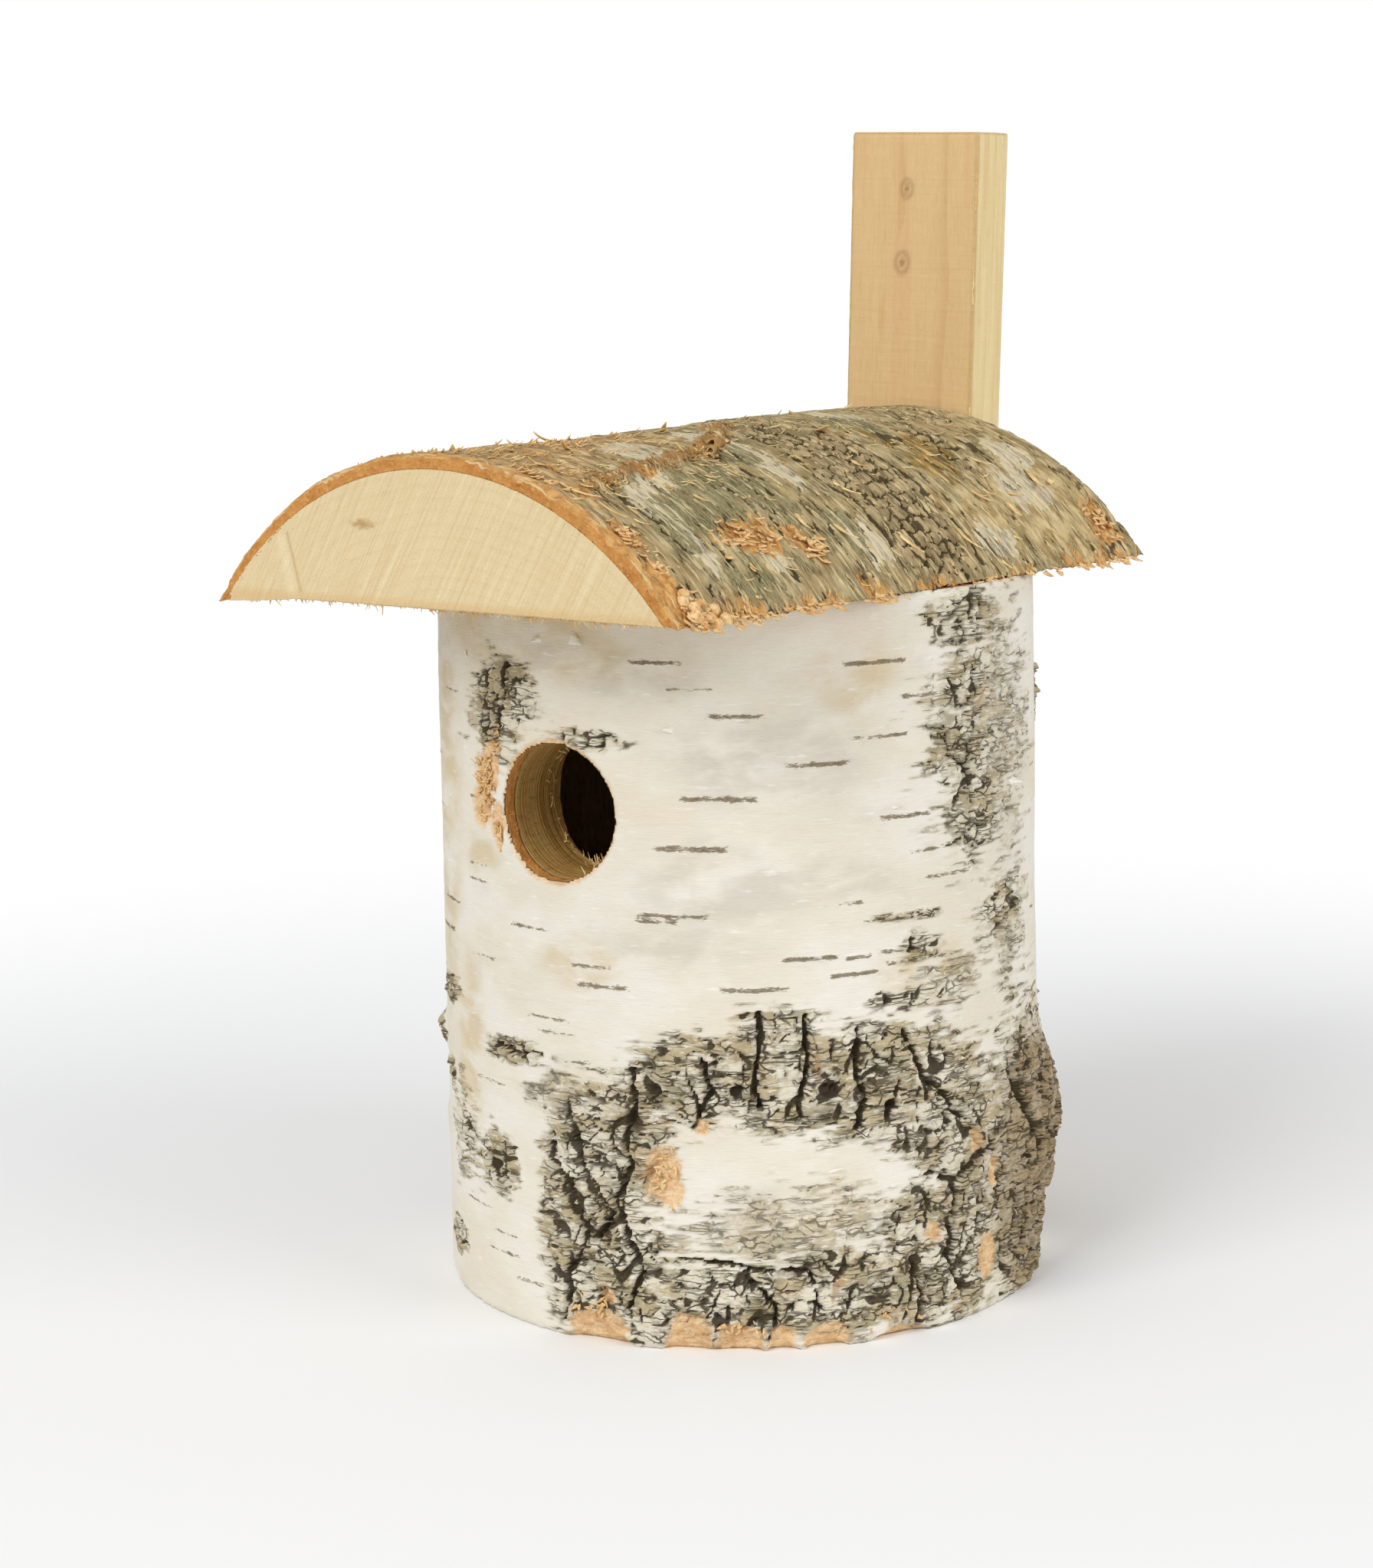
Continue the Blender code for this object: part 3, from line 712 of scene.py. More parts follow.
# Bare inner bark: degrees, height, half width in degrees, half height in mm.
PEACH = [
    (24, 44, 3.8, 8.5), (-15, 140, 4.6, 6.0), (-17, 132, 3.8, 6), (-13, 146, 3.0, 2.2),
    (-12, 127, 2.2, 6), (11, 3, 6.5, 6), (28, 4, 4.5, 6.5), (37, 3, 4.5, 5), (45, 2, 2.5, 5),
    (53, 2, 4, 5), (13, 12, 1.6, 2.5), (87, 45, 2.5, 4), (75, 26, 2, 3), (90, 14, 2.5, 6),
    (92, 36, 2, 5), (31, 57, 1.5, 2.5), (-150, 4, 5, 5), (170, 3, 5, 5), (-95, 3, 6, 4),
]
# Knots: degrees, height, radius in mm.
KNOTS = [(54, 65.5, 4.6), (37.5, 66, 2.8), (-14, 39, 4.0), (66, 60, 2.0), (-30, 37, 2.5),
         (158, 60, 5.0)]
# Low swellings: degrees, height, half width in degrees, half height and rise in mm.
SWELLINGS = [(120, 41, 28, 34, 5.0), (-50, 65, 7, 7, 2.0), (-52, 40, 8, 8, 0.8)]
# Knife cuts around the foot, where bark was trimmed: degrees, half width in degrees, height.
TRIMMED = [(11, 7, 8), (28, 5, 8), (37, 5, 7), (45, 3, 6), (53, 4, 6), (68, 6, 3)]


def swelling(patch):
    """How far the log bulges at its low swellings."""
    rise = np.zeros_like(patch.u)
    for degrees, height, half_degrees, half_height, depth in SWELLINGS:
        du, dv = patch.away(*at(degrees, height))
        across = np.minimum(np.abs(du) / (math.radians(half_degrees) * LOG_RADIUS), 1.0)
        along = np.minimum(np.abs(dv) / (half_height * MM), 1.0)
        rise += depth * MM * (np.cos(across * math.pi / 2) * np.cos(along * math.pi / 2)) ** 2
    return rise


def warped(patch, seed, size, reach):
    """The same surface with its places shifted about, so that shapes on it turn ragged."""
    return Patch(patch.u + reach * MM * patch.noise(size * MM, size * MM, seed, 3),
                 patch.v + reach * MM * patch.noise(size * MM, size * 0.8 * MM, seed + 1, 3),
                 patch.around)


def knot_patterns(patch):
    """How far each place lies in a knot, and on the ring around one."""
    heart = np.zeros_like(patch.u)
    ring = np.zeros_like(patch.u)
    for degrees, height, radius in KNOTS:
        du, dv = patch.away(*at(degrees, height))
        distance = np.hypot(du, dv * 1.15) / (radius * MM)
        heart = np.maximum(heart, 1 - smooth(0.40, 0.80, distance))
        ring = np.maximum(ring, np.exp(-((distance - 1.0) / 0.22) ** 2))
    return heart, ring


def lenticel_pattern(patch):
    """1 along the middle of each dash and 0 outside it; the material gives it a hard edge."""
    field = np.zeros_like(patch.u)
    rng = np.random.default_rng(21)
    dashes = list(LENTICELS)
    for _ in range(LENTICELS_BEHIND):
        dashes.append((rng.uniform(132, 312), rng.uniform(8, 180), rng.uniform(3, 8),
                       rng.uniform(0.3, 0.7), rng.uniform(0.5, 0.9)))
    for degrees, height, half_degrees, half_mm, dark in dashes:
        du, dv = patch.away(*at(degrees, height))
        du = np.abs(du) / (math.radians(half_degrees) * LOG_RADIUS)
        dv = np.abs(dv) / ((half_mm + 0.55) * MM)
        field = np.maximum(field, dark * np.clip(1 - np.maximum(du ** 4, dv), 0, 1))
    return field


def trim_depth(patch):
    """How deep the bark is cut back at the foot."""
    cut = np.zeros_like(patch.u)
    for degrees, half_degrees, top in TRIMMED:
        du, dv = patch.away(*at(degrees, 0))
        arch = 1 - (du / (math.radians(half_degrees) * LOG_RADIUS)) ** 2
        cut = np.maximum(cut, 2.3 * MM * np.clip(arch - dv / (top * MM), 0, 1) ** 0.7)
    return cut


def cork_cracks(patch, bent, cork, heart):
    """The plates that cork splits into: where it cracks, and each plate's own number."""
    plates, number = bent.cells(7.6 * MM, 4.2 * MM, 7)
    broken = smooth(-0.45, 0.15, patch.noise(9 * MM, 7 * MM, 28, 2))
    edge = plates + 0.09 * patch.noise(1.3 * MM, 1.1 * MM, 9)
    crack = (1 - smooth(0.02, 0.13, edge)) * broken
    upright = smooth(0.60, 0.90, bent.ridges(7.5 * MM, 19 * MM, 11))
    upright *= smooth(-0.25, 0.20, patch.noise(10 * MM, 10 * MM, 29, 2))
    level = smooth(0.58, 0.90, bent.ridges(15 * MM, 3.4 * MM, 10))
    level *= smooth(-0.20, 0.20, patch.noise(7 * MM, 5 * MM, 33, 2))
    return crack * heart, upright * heart, level * np.sqrt(cork), number


def cork_field(patch, bent):
    """How corky each place is, and how far inside a corky patch it lies."""
    field = bent.blobs([patch_at(*place) for place in CORKY])
    islands = bent.blobs([patch_at(*place) for place in CLEAN_ISLANDS])
    field = np.minimum(field, 0.22 - islands * 1.3)
    streaks = patch.noise(11 * MM, 1.5 * MM, 5, 3)
    speckle = 0.20 * patch.noise(5 * MM, 3 * MM, 6, 2)
    cork = smooth(-0.10, 0.14, field + 0.50 * streaks + speckle)
    old = smooth(0.10, 0.50, bent.blobs([patch_at(*place) for place in WEATHERED])
                 + 0.9 * streaks + speckle + 0.35 * patch.noise(12 * MM, 8 * MM, 34, 2))
    cork = np.maximum(cork, 0.75 * old)
    heart = smooth(0.05, 0.40, field + 0.15 * patch.noise(6 * MM, 5 * MM, 27, 2))
    return cork, np.maximum(heart, 0.55 * old)


def fissure_pattern(patch, wavy):
    """1 in the deep fissures, which are wide and narrow by turns, and 0 outside them."""
    fissure = np.zeros_like(patch.u)
    for half_width, points in FISSURES:
        distance = wavy.stroke([at(*point) for point in points])
        width = half_width * MM * (0.80 + 1.1 * patch.noise(4 * MM, 2.2 * MM, 14, 3))
        ragged = 0.45 * MM * patch.noise(2.0 * MM, 0.9 * MM, 19, 2)
        width = np.maximum(width, 0.12 * MM)
        fissure = np.maximum(fissure, 1 - smooth(0.45, 1.3, (distance + ragged) / width))
    return fissure


def bare_pattern(patch, bent, trimmed):
    """1 where inner bark lies bare: in patches, around the entrance and on knife cuts."""
    peach_field = bent.blobs([patch_at(*place) for place in PEACH])
    peach = smooth(-0.02, 0.18, peach_field + 0.25 * patch.noise(2 * MM, 1.6 * MM, 15, 2))
    hole = np.hypot(*patch.away(*at(math.degrees(ENTRANCE_ANGLE), ENTRANCE_Z / MM)))
    rim = hole / ENTRANCE_RADIUS - 1 - 0.035 * patch.noise(2 * MM, 2 * MM, 16, 2)
    return np.maximum.reduce([peach, 1 - smooth(0.035, 0.085, rim),
                              smooth(0.3 * MM, 0.9 * MM, trimmed)])


def tint_pattern(bent, places):
    return smooth(-0.2, 0.6, bent.blobs([patch_at(*place) for place in places]))


def log_patterns(patch):
    """The bark's relief above its smooth surface, and the patterns its material reads."""
    bent = warped(patch, 3, 9, 2.4)
    wavy = warped(patch, 12, 5, 1.4)
    cork, heart = cork_field(patch, bent)
    crack, upright, level, number = cork_cracks(patch, bent, cork, heart)
    fissure = fissure_pattern(patch, wavy) * smooth(0.05, 0.60, cork)
    knot, knot_ring = knot_patterns(bent)
    trimmed = trim_depth(wavy)
    peach = bare_pattern(patch, bent, trimmed)
    dark = np.maximum.reduce([0.9 * crack, 0.8 * level, upright]) * cork
    dark = np.maximum(dark, fissure) * (1 - 0.9 * peach)

    turn_starts = math.radians(84) * LOG_RADIUS
    turn_ends = math.radians(104) * LOG_RADIUS
    rugged = 1.0 + 0.7 * smooth(turn_starts, turn_ends, np.abs(patch.u))
    height = 0.50 * MM * patch.noise(38 * MM, 46 * MM, 22, 2)
    height += 0.14 * MM * patch.noise(7 * MM, 5 * MM, 23, 3)
    height += 0.04 * MM * patch.noise(3 * MM, 0.7 * MM, 24, 2)
    lenticel = lenticel_pattern(patch) * (1 - 0.8 * cork)
    height += 0.22 * MM * smooth(0.3, 0.8, lenticel)
    tops = 0.65 * MM + 0.9 * MM * (number - 0.5)
    tops += 0.45 * MM * patch.noise(2.4 * MM, 1.4 * MM, 25, 3)
    relief = tops * heart - 1.2 * MM * crack - 1.7 * MM * upright - 0.7 * MM * level
    height += cork * relief * rugged
    height -= 2.8 * MM * fissure
    height += 1.0 * MM * knot_ring * (1 - fissure) - 1.3 * MM * knot
    height -= peach * (0.7 * MM + 0.35 * MM * patch.noise(1.3 * MM, 1.0 * MM, 26, 2)) + trimmed
    height = np.clip(height, -3.4 * MM, 2.0 * MM)
    patterns = {"dark": np.clip(dark + 0.85 * knot, 0, 1), "cork": cork, "peach": peach,
                "lenticel": lenticel, "knot": np.clip(knot + 0.5 * knot_ring, 0, 1),
                "heart": heart, "plate": number,
                "warm": tint_pattern(bent, WARM), "grey": tint_pattern(bent, GREY)}
    return height, patterns


def sleeve_radius(patch, theta, lift):
    """Distance of the outer bark from the log's axis, inside what the CAD leaves free."""
    taper = LOG_TAPER * patch.v / LOG_HEIGHT
    edge = np.minimum(patch.v, LOG_HEIGHT - patch.v)
    ragged = 1 + 0.8 * patch.noise(3 * MM, 3 * MM, 31, 2)
    worn = 0.7 * MM * (1 - smooth(0.0, 1.6 * MM, edge)) * ragged
    radius = LOG_RADIUS - taper + swelling(patch) + lift - worn
    radius = np.minimum(radius, (LOG_RADIUS - 0.1 * MM) / np.maximum(np.abs(np.sin(theta)), 0.1))
    seat = BATTEN_LOW[1] - AXIS_Y - 0.4 * MM
    radius = np.minimum(radius, seat / np.maximum(-np.cos(theta), 0.1))
    return np.maximum(radius, WOOD_RADIUS - taper + BARK_GAP + 0.6 * MM)


def shell_rings(radius, z, inner, columns):
    """Radius and height of every row: up the outside, over the top, down inside, out below."""
    rim_rows = 5
    share = np.linspace(0, 1, rim_rows + 2)[1:-1, None]
    rim = Patch(np.tile(np.arange(columns) * LOG_AROUND / columns, (rim_rows, 1)),
                np.tile(share * 4 * MM, (1, columns)), LOG_AROUND)
    sunk = 0.35 * MM * (0.5 + 0.5 * rim.noise(1.5 * MM, 1.2 * MM, 32, 2))
    top = radius[-1] * (1 - share) + inner[-1] * share
    bottom = inner[0] * (1 - share) + radius[0] * share
    shell_r = np.concatenate([radius, top, inner[-1:], inner[:1], bottom])
    shell_z = np.concatenate([z, LOG_HEIGHT - sunk, z[-1:], z[:1], sunk])
    return shell_r, shell_z


def add_log_bark():
    """The sleeve of bark, whose outside is a displaced grid around the log."""
    columns = int(820 * DETAIL)
    rows = int(330 * DETAIL)
    angle = (np.arange(columns) / columns - 0.5) * math.tau
    theta, z = np.meshgrid(angle, np.linspace(0.0, LOG_HEIGHT, rows))
    patch = Patch(theta * LOG_RADIUS, z, LOG_AROUND)
    lift, patterns = log_patterns(patch)
    radius = sleeve_radius(patch, theta, lift)
    inner = WOOD_RADIUS - LOG_TAPER * z / LOG_HEIGHT + BARK_GAP
    shell_r, shell_z = shell_rings(radius, z, inner, columns)
    count = len(shell_r)
    shell_t = np.tile(angle, (count, 1))
    points = np.stack([shell_r * np.sin(shell_t), AXIS_Y - shell_r * np.cos(shell_t), shell_z], -1)
    mesh = build_mesh("birch_bark_sleeve", points.reshape(-1, 3), ring_faces(count, columns))

    def spread(name, fill):
        """A pattern on the outside, extended over the rest of the shell."""
        rest = np.full((count - rows, columns), fill)
        return np.concatenate([patterns[name], rest]).ravel()

    set_colors(mesh, "marks", spread("dark", 0), spread("cork", 0), spread("peach", 1))
    set_colors(mesh, "more", spread("lenticel", 0), spread("knot", 0), spread("heart", 0))
    set_colors(mesh, "tints", spread("warm", 0), spread("grey", 0), spread("plate", 0))
    coords = np.stack([shell_t * LOG_RADIUS, shell_z, shell_r - LOG_RADIUS], -1)
    set_coords(mesh, "skin", coords.reshape(-1, 3))
    face_outwards(mesh)
    mesh.materials.append(birch_bark_material())
    mesh.materials.append(bark_section_material())
    slots = np.zeros(len(mesh.polygons), np.int32)
    slots[(rows - 1) * columns:] = 1
    mesh.polygons.foreach_set("material_index", slots)
    bark = show("birch_bark_sleeve", mesh, replaces=["log_bark"])
    bore = entrance_cutter("bark_bore", 0.10 * MM, 0.45 * MM, 41, bark_section_material())
    cut_shapes(bark, [bore])


def entrance_cutter(name, groove, ragged, seed, material):
    """A bore with tool grooves and a ragged wall, from the nest out past the bark."""
    around = 180
    along = 90
    angle = full_turn(around)
    a, s = np.meshgrid(angle, np.linspace(BORE_FROM, BORE_TO, along))
    patch = Patch(a * ENTRANCE_RADIUS, s, math.tau * ENTRANCE_RADIUS)
    radius = ENTRANCE_RADIUS + groove * patch.noise(60 * MM, 1.6 * MM, seed, 2)
    radius += ragged * patch.noise(2.2 * MM, 2.6 * MM, seed + 1, 3)
    forward = Vector((math.sin(ENTRANCE_ANGLE), -math.cos(ENTRANCE_ANGLE), 0.0))
    side = Vector((math.cos(ENTRANCE_ANGLE), math.sin(ENTRANCE_ANGLE), 0.0))
    x = forward.x * s + side.x * radius * np.cos(a)
    y = AXIS_Y + forward.y * s + side.y * radius * np.cos(a)
    z = ENTRANCE_Z + radius * np.sin(a)
    points = np.stack([x, y, z], -1).reshape(-1, 3)
    return closed_cutter(name, points, along, around, material)


def closed_cutter(name, points, rows, columns, material=None):
    """A closed tube for cutting with."""
    mesh = tube_mesh(name, points, rows, columns)
    if material:
        mesh.materials.append(material)
    cutter = bpy.data.objects.new(name, mesh)
    bpy.context.scene.collection.objects.link(cutter)
    return cutter


def cut_shapes(piece, cutters):
    """Cuts shapes out of a closed piece, then removes the shapes."""
    for cutter in cutters:
        modifier = piece.modifiers.new("cut", 'BOOLEAN')
        modifier.operation = 'DIFFERENCE'
        modifier.solver = 'MANIFOLD'
        modifier.object = cutter
        modifier.material_mode = 'TRANSFER'
    graph = bpy.context.evaluated_depsgraph_get()
    mesh = bpy.data.meshes.new_from_object(piece.evaluated_get(graph))
    piece.modifiers.clear()
    old = piece.data
    mesh.name = piece.name
    piece.data = mesh
    bpy.data.meshes.remove(old)
    for cutter in cutters:
        bpy.data.objects.remove(cutter, do_unlink=True)


def clean_bark(g, skin, warm, grey):
    """White birch bark: cream and grey tints, faint bands and hair lines across it."""
    large = g.noise(skin, (0.034, 0.024, 1.0), 3.0)
    clouds = g.noise(skin, (0.018, 0.009, 1.0), 4.0, warp=0.3)
    bands = g.noise(skin, (0.020, 0.0020, 1.0), 4.0, 0.6)
    hairs = g.noise(skin, (0.0065, 0.00026, 1.0), 3.0, 0.6)
    specks = g.noise(skin, (0.0011, 0.0005, 1.0), 2.0, 0.7)
    color = g.mix(g.step(large, 0.38, 0.66), srgb(231, 226, 213), srgb(225, 216, 197))
    patchy = g.step(clouds, 0.34, 0.62)
    color = g.tint(color, g.math('MULTIPLY', warm, patchy), 0.85, srgb(212, 192, 154))
    color = g.tint(color, g.math('MULTIPLY', grey, patchy), 0.75, srgb(205, 198, 183))
    color = g.tint(color, g.step(clouds, 0.56, 0.76), 0.45, srgb(208, 202, 190))
    color = g.tint(color, g.step(bands, 0.58, 0.80), 0.28, srgb(206, 190, 160))
    color = g.tint(color, g.step(hairs, 0.56, 0.78), 0.26, srgb(180, 170, 152))
    color = g.tint(color, g.step(specks, 0.70, 0.78), 0.40, srgb(160, 146, 126))
    bright = g.noise(skin, (0.007, 0.0014, 1.0), 3.0, 0.6)
    color = g.tint(color, g.step(bright, 0.58, 0.78), 0.7, srgb(242, 239, 231))
    return color, hairs


def cork_plates(g, skin, number):
    """The tops of corky plates: pale, beige, olive and rusty, with grit between."""
    tint = g.noise(skin, (0.0060, 0.0034, 1.0), 3.0, 0.6)
    mixed = g.math('ADD', g.math('MULTIPLY', tint, 0.6), g.math('MULTIPLY', number, 0.4))
    color = g.mix(g.step(mixed, 0.40, 0.62), srgb(222, 213, 190), srgb(182, 165, 127))
    moss = g.noise(skin, (0.010, 0.009, 1.0), 3.0, 0.6, 0.5)
    color = g.tint(color, g.step(moss, 0.48, 0.66), 0.75, srgb(138, 128, 92))
    rust = g.noise(skin, (0.006, 0.011, 1.0), 3.0, 0.6, 0.5)
    color = g.tint(color, g.step(rust, 0.60, 0.76), 0.75, srgb(168, 124, 80))
    grit = g.noise(skin, (0.0026, 0.0007, 1.0), 3.0, 0.7)
    color = g.tint(color, g.step(grit, 0.54, 0.72), 0.50, srgb(104, 92, 66))
    chips = g.noise(skin, (0.0034, 0.0011, 1.0), 2.0, 0.6)
    color = g.tint(color, g.step(chips, 0.54, 0.66), 0.75, srgb(232, 226, 212))
    return color, grit


def bare_bark(g, place, light, dark, fleck_color):
    """Inner bark laid bare: mottled, with darker flecks."""
    inner = g.noise(place, (0.0030, 0.0022, 0.003), 4.0, 0.65)
    color = g.mix(g.step(inner, 0.35, 0.70), light, dark)
    flecks = g.noise(place, (0.0009, 0.0006, 0.0009), 2.0, 0.6)
    return g.mix(g.math('MULTIPLY', g.step(flecks, 0.56, 0.72), 0.55), color, fleck_color)


def fine_cracks(g, skin, cork):
    """Cracks between plates and hair cracks along them that are too fine for the mesh."""
    bent = g.warp(skin, 0.0030, 0.0016)
    thin = g.step(g.cracks(bent, (0.0046, 0.0021, 1.0)), 0.10, 0.02)
    patchy = g.step(g.noise(skin, (0.006, 0.005, 1.0), 2.0), 0.44, 0.60)
    thin = g.math('MULTIPLY', g.math('MULTIPLY', thin, patchy), cork)
    level = g.noise(skin, (0.011, 0.0016, 1.0), 2.0, 0.5)
    hair = g.step(g.math('ABSOLUTE', g.math('SUBTRACT', level, 0.5)), 0.045, 0.015)
    thread = g.step(g.noise(skin, (0.012, 0.004, 1.0), 2.0), 0.44, 0.58)
    hair = g.math('MULTIPLY', g.math('MULTIPLY', hair, thread), cork)
    return g.math('MAXIMUM', thin, g.math('MULTIPLY', hair, 0.85))


def dashes(g, skin, lenticel):
    """How dark each place of a lenticel is: ragged, broken up, and hollow here and there."""
    speck = g.noise(skin, (0.0015, 0.00045, 1.0), 3.0, 0.7)
    gaps = g.noise(skin, (0.0035, 0.002, 1.0), 2.0)
    ragged = g.math('MULTIPLY', g.math('SUBTRACT', speck, 0.5), 1.3)
    ragged = g.math('ADD', ragged, g.math('MULTIPLY', g.math('SUBTRACT', gaps, 0.5), 0.9))
    dash = g.step(g.math('ADD', lenticel, ragged), 0.34, 0.58)
    hollow = g.step(g.math('ADD', lenticel, g.math('MULTIPLY', speck, 0.5)), 0.98, 1.12)
    dash = g.math('SUBTRACT', dash, g.math('MULTIPLY', hollow, 0.6))
    inside = g.step(lenticel, 0.02, 0.20)
    return g.math('MULTIPLY', g.math('MAXIMUM', dash, 0.0), inside), speck


def birch_bark_material():
    """The log's bark: clean and white, corky, bare or sooty as its attributes say."""
    g = Graph("birch_bark", 0.82)
    skin = g.coords("skin")
    dark, cork, peach = g.channels("marks")
    lenticel, knot, heart = g.channels("more")
    warm, grey, number = g.channels("tints")
    color, hairs = clean_bark(g, skin, warm, grey)
    plate, grit = cork_plates(g, skin, number)
    color = g.tint(color, cork, 0.9, plate)

    # Around the corner of the log the cork turns brown.
    turn = g.step(g.axis(skin, "X"), math.radians(82) * LOG_RADIUS, math.radians(102) * LOG_RADIUS)
    low = g.step(g.axis(skin, "Y"), 0.085, 0.060)
    brown = g.mix(g.step(grit, 0.40, 0.70), srgb(160, 134, 94), srgb(98, 82, 58))
    browned = g.math('MULTIPLY', g.math('MULTIPLY', turn, low), heart)
    color = g.tint(color, browned, 0.7, brown)

    bare = bare_bark(g, skin, srgb(238, 208, 164), srgb(214, 170, 120), srgb(166, 120, 76))
    color = g.mix(peach, color, bare)
    dash, speck = dashes(g, skin, lenticel)
    dash_color = g.mix(g.step(speck, 0.40, 0.60), srgb(78, 66, 44), srgb(136, 118, 86))
    color = g.tint(color, dash, 0.88, dash_color)

    edge = g.math('ADD', dark, g.math('MULTIPLY', g.math('SUBTRACT', grit, 0.5), 0.8))
    soot = g.math('MAXIMUM', g.step(edge, 0.38, 0.62), fine_cracks(g, skin, cork))
    soot = g.math('MULTIPLY', soot, g.math('SUBTRACT', 1.0, g.math('MULTIPLY', peach, 0.85)))
    soot_color = g.mix(g.step(speck, 0.4, 0.65), srgb(46, 37, 22), srgb(78, 64, 40))
    color = g.tint(color, soot, 0.93, soot_color)
    color = g.tint(color, g.step(knot, 0.3, 0.9), 0.75, srgb(60, 46, 34))

    fine = g.math('ADD', g.math('MULTIPLY', hairs, 0.4), g.math('MULTIPLY', grit, cork))
    height = g.math('SUBTRACT', fine, g.math('MULTIPLY', soot, 0.8))
    rough = g.math('ADD', 0.62, g.math('MULTIPLY', cork, 0.26))
    return g.finish(color, rough, height, 0.0004)


@once
def bark_section_material():
    """Cut bark: orange-brown and crumbly, with pale crumbs and dark pits."""
    g = Graph("bark_section", 0.88)
    place = g.coords("object")
    broad = g.noise(place, (0.006, 0.006, 0.006), 3.0, 0.6)
    crumbs = g.noise(place, (0.0011, 0.0011, 0.0011), 3.0, 0.7)
    pits = g.noise(place, (0.0006, 0.0006, 0.0006), 2.0, 0.6)
    color = g.mix(g.step(broad, 0.3, 0.7), srgb(214, 152, 82), srgb(190, 126, 60))
    color = g.tint(color, g.step(crumbs, 0.50, 0.68), 0.6, srgb(230, 178, 108))
    color = g.tint(color, g.step(pits, 0.62, 0.74), 0.6, srgb(140, 84, 38))
    return g.finish(color, None, crumbs, 0.0006)


# ---------------------------------------------------------------- wood
def wood_graph(name, light, dark, ring, contrast, fibre=0.3, rough=0.85, bend=1.6):
    """Wood from the attribute grain: two ways across from the heart, and along the fibres."""
    g = Graph(name, rough)
    grain = g.coords("grain")
    bent = g.warp(grain, 0.030, 0.0012 * bend / 1.6)
    p = g.axis(bent, "X")
    q = g.axis(bent, "Y")
    radius = g.math('SQRT', g.math('ADD', g.math('MULTIPLY', p, p), g.math('MULTIPLY', q, q)))
    wobble = g.noise(grain, (0.012, 0.012, 0.09), 2.0)
    turns = g.math('ADD', g.math('DIVIDE', radius, ring), g.math('MULTIPLY', wobble, bend))
    share = g.math('FRACT', turns)
    late = g.math('MULTIPLY', g.step(share, 0.45, 0.92), g.step(share, 1.0, 0.94))
    color = g.mix(g.math('MULTIPLY', late, contrast), srgb(*light), srgb(*dark))
    fibres = g.noise(grain, (0.00035, 0.00035, 0.014), 3.0, 0.65)
    color = g.tint(color, g.step(fibres, 0.50, 0.75), fibre, srgb(*dark))
    broad = g.noise(grain, (0.012, 0.012, 0.06), 3.0)
    shade = g.mix(0.5, srgb(*dark), srgb(*light))
    color = g.tint(color, g.step(broad, 0.45, 0.75), 0.35, shade)
    return g, grain, color, fibres


@once
def end_grain_material():
    """Pale birch, sawn across: faint rings, slanting saw marks, a few stains."""
    g, _, color, _ = wood_graph("roof_wood", (229, 208, 164), (214, 186, 134), 0.0031,
                                0.18, 0.25, bend=0.7)
    saw = g.coords("saw")
    marks = g.noise(saw, (0.060, 0.00075, 0.02), 3.0, 0.65)
    color = g.tint(color, g.step(marks, 0.48, 0.70), 0.42, srgb(208, 178, 126))
    light = g.noise(saw, (0.030, 0.0012, 0.02), 2.0, 0.6)
    color = g.tint(color, g.step(light, 0.54, 0.72), 0.45, srgb(240, 224, 186))
    pores = g.noise(g.coords("object"), (0.0006, 0.0006, 0.0006), 2.0, 0.6)
    color = g.tint(color, g.step(pores, 0.58, 0.72), 0.35, srgb(206, 174, 118))
    stain = g.noise(saw, (0.012, 0.005, 0.02), 3.0)
    color = g.tint(color, g.step(stain, 0.64, 0.80), 0.25, srgb(204, 168, 112))
    mark, pale, edge = g.channels("marks")
    color = g.tint(color, mark, 0.75, srgb(176, 132, 78))
    color = g.tint(color, pale, 0.35, srgb(244, 230, 196))
    color = g.tint(color, edge, 0.5, srgb(216, 176, 118))
    height = g.math('ADD', marks, g.math('MULTIPLY', pores, 0.6))
    return g.finish(color, None, height, 0.0004)


@once
def batten_material():
    """Rough sawn softwood: tan on its wide faces, with a painted highlight that makes its narrow
    sides paler.
    """
    g, grain, color, fibres = wood_graph("batten_wood", (230, 196, 142), (208, 166, 108), 0.0046,
                                         0.42, 0.32, 0.8)
    knot, pale, rim = g.channels("marks")
    light = g.noise(grain, (0.0022, 0.0022, 0.05), 3.0, 0.6)
    side_highlight = g.mix(g.step(light, 0.35, 0.65), srgb(238, 220, 170), srgb(226, 202, 146))
    # Painted highlight: the narrow sides are tinted paler, standing in for the light that falls on
    # them.
    color = g.tint(color, pale, 0.80, side_highlight)
    pink = g.noise(grain, (0.006, 0.02, 0.12), 2.0)
    pink = g.math('MULTIPLY', g.step(pink, 0.52, 0.70), g.math('SUBTRACT', 1.0, pale))
    color = g.tint(color, pink, 0.45, srgb(226, 176, 132))
    color = g.tint(color, rim, 0.5, srgb(196, 150, 98))
    color = g.tint(color, knot, 0.75, srgb(150, 110, 66))
    saw = g.noise(grain, (0.02, 0.02, 0.0011), 3.0, 0.6)
    height = g.math('ADD', fibres, g.math('MULTIPLY', saw, 0.5))
    return g.finish(color, None, height, 0.0003)


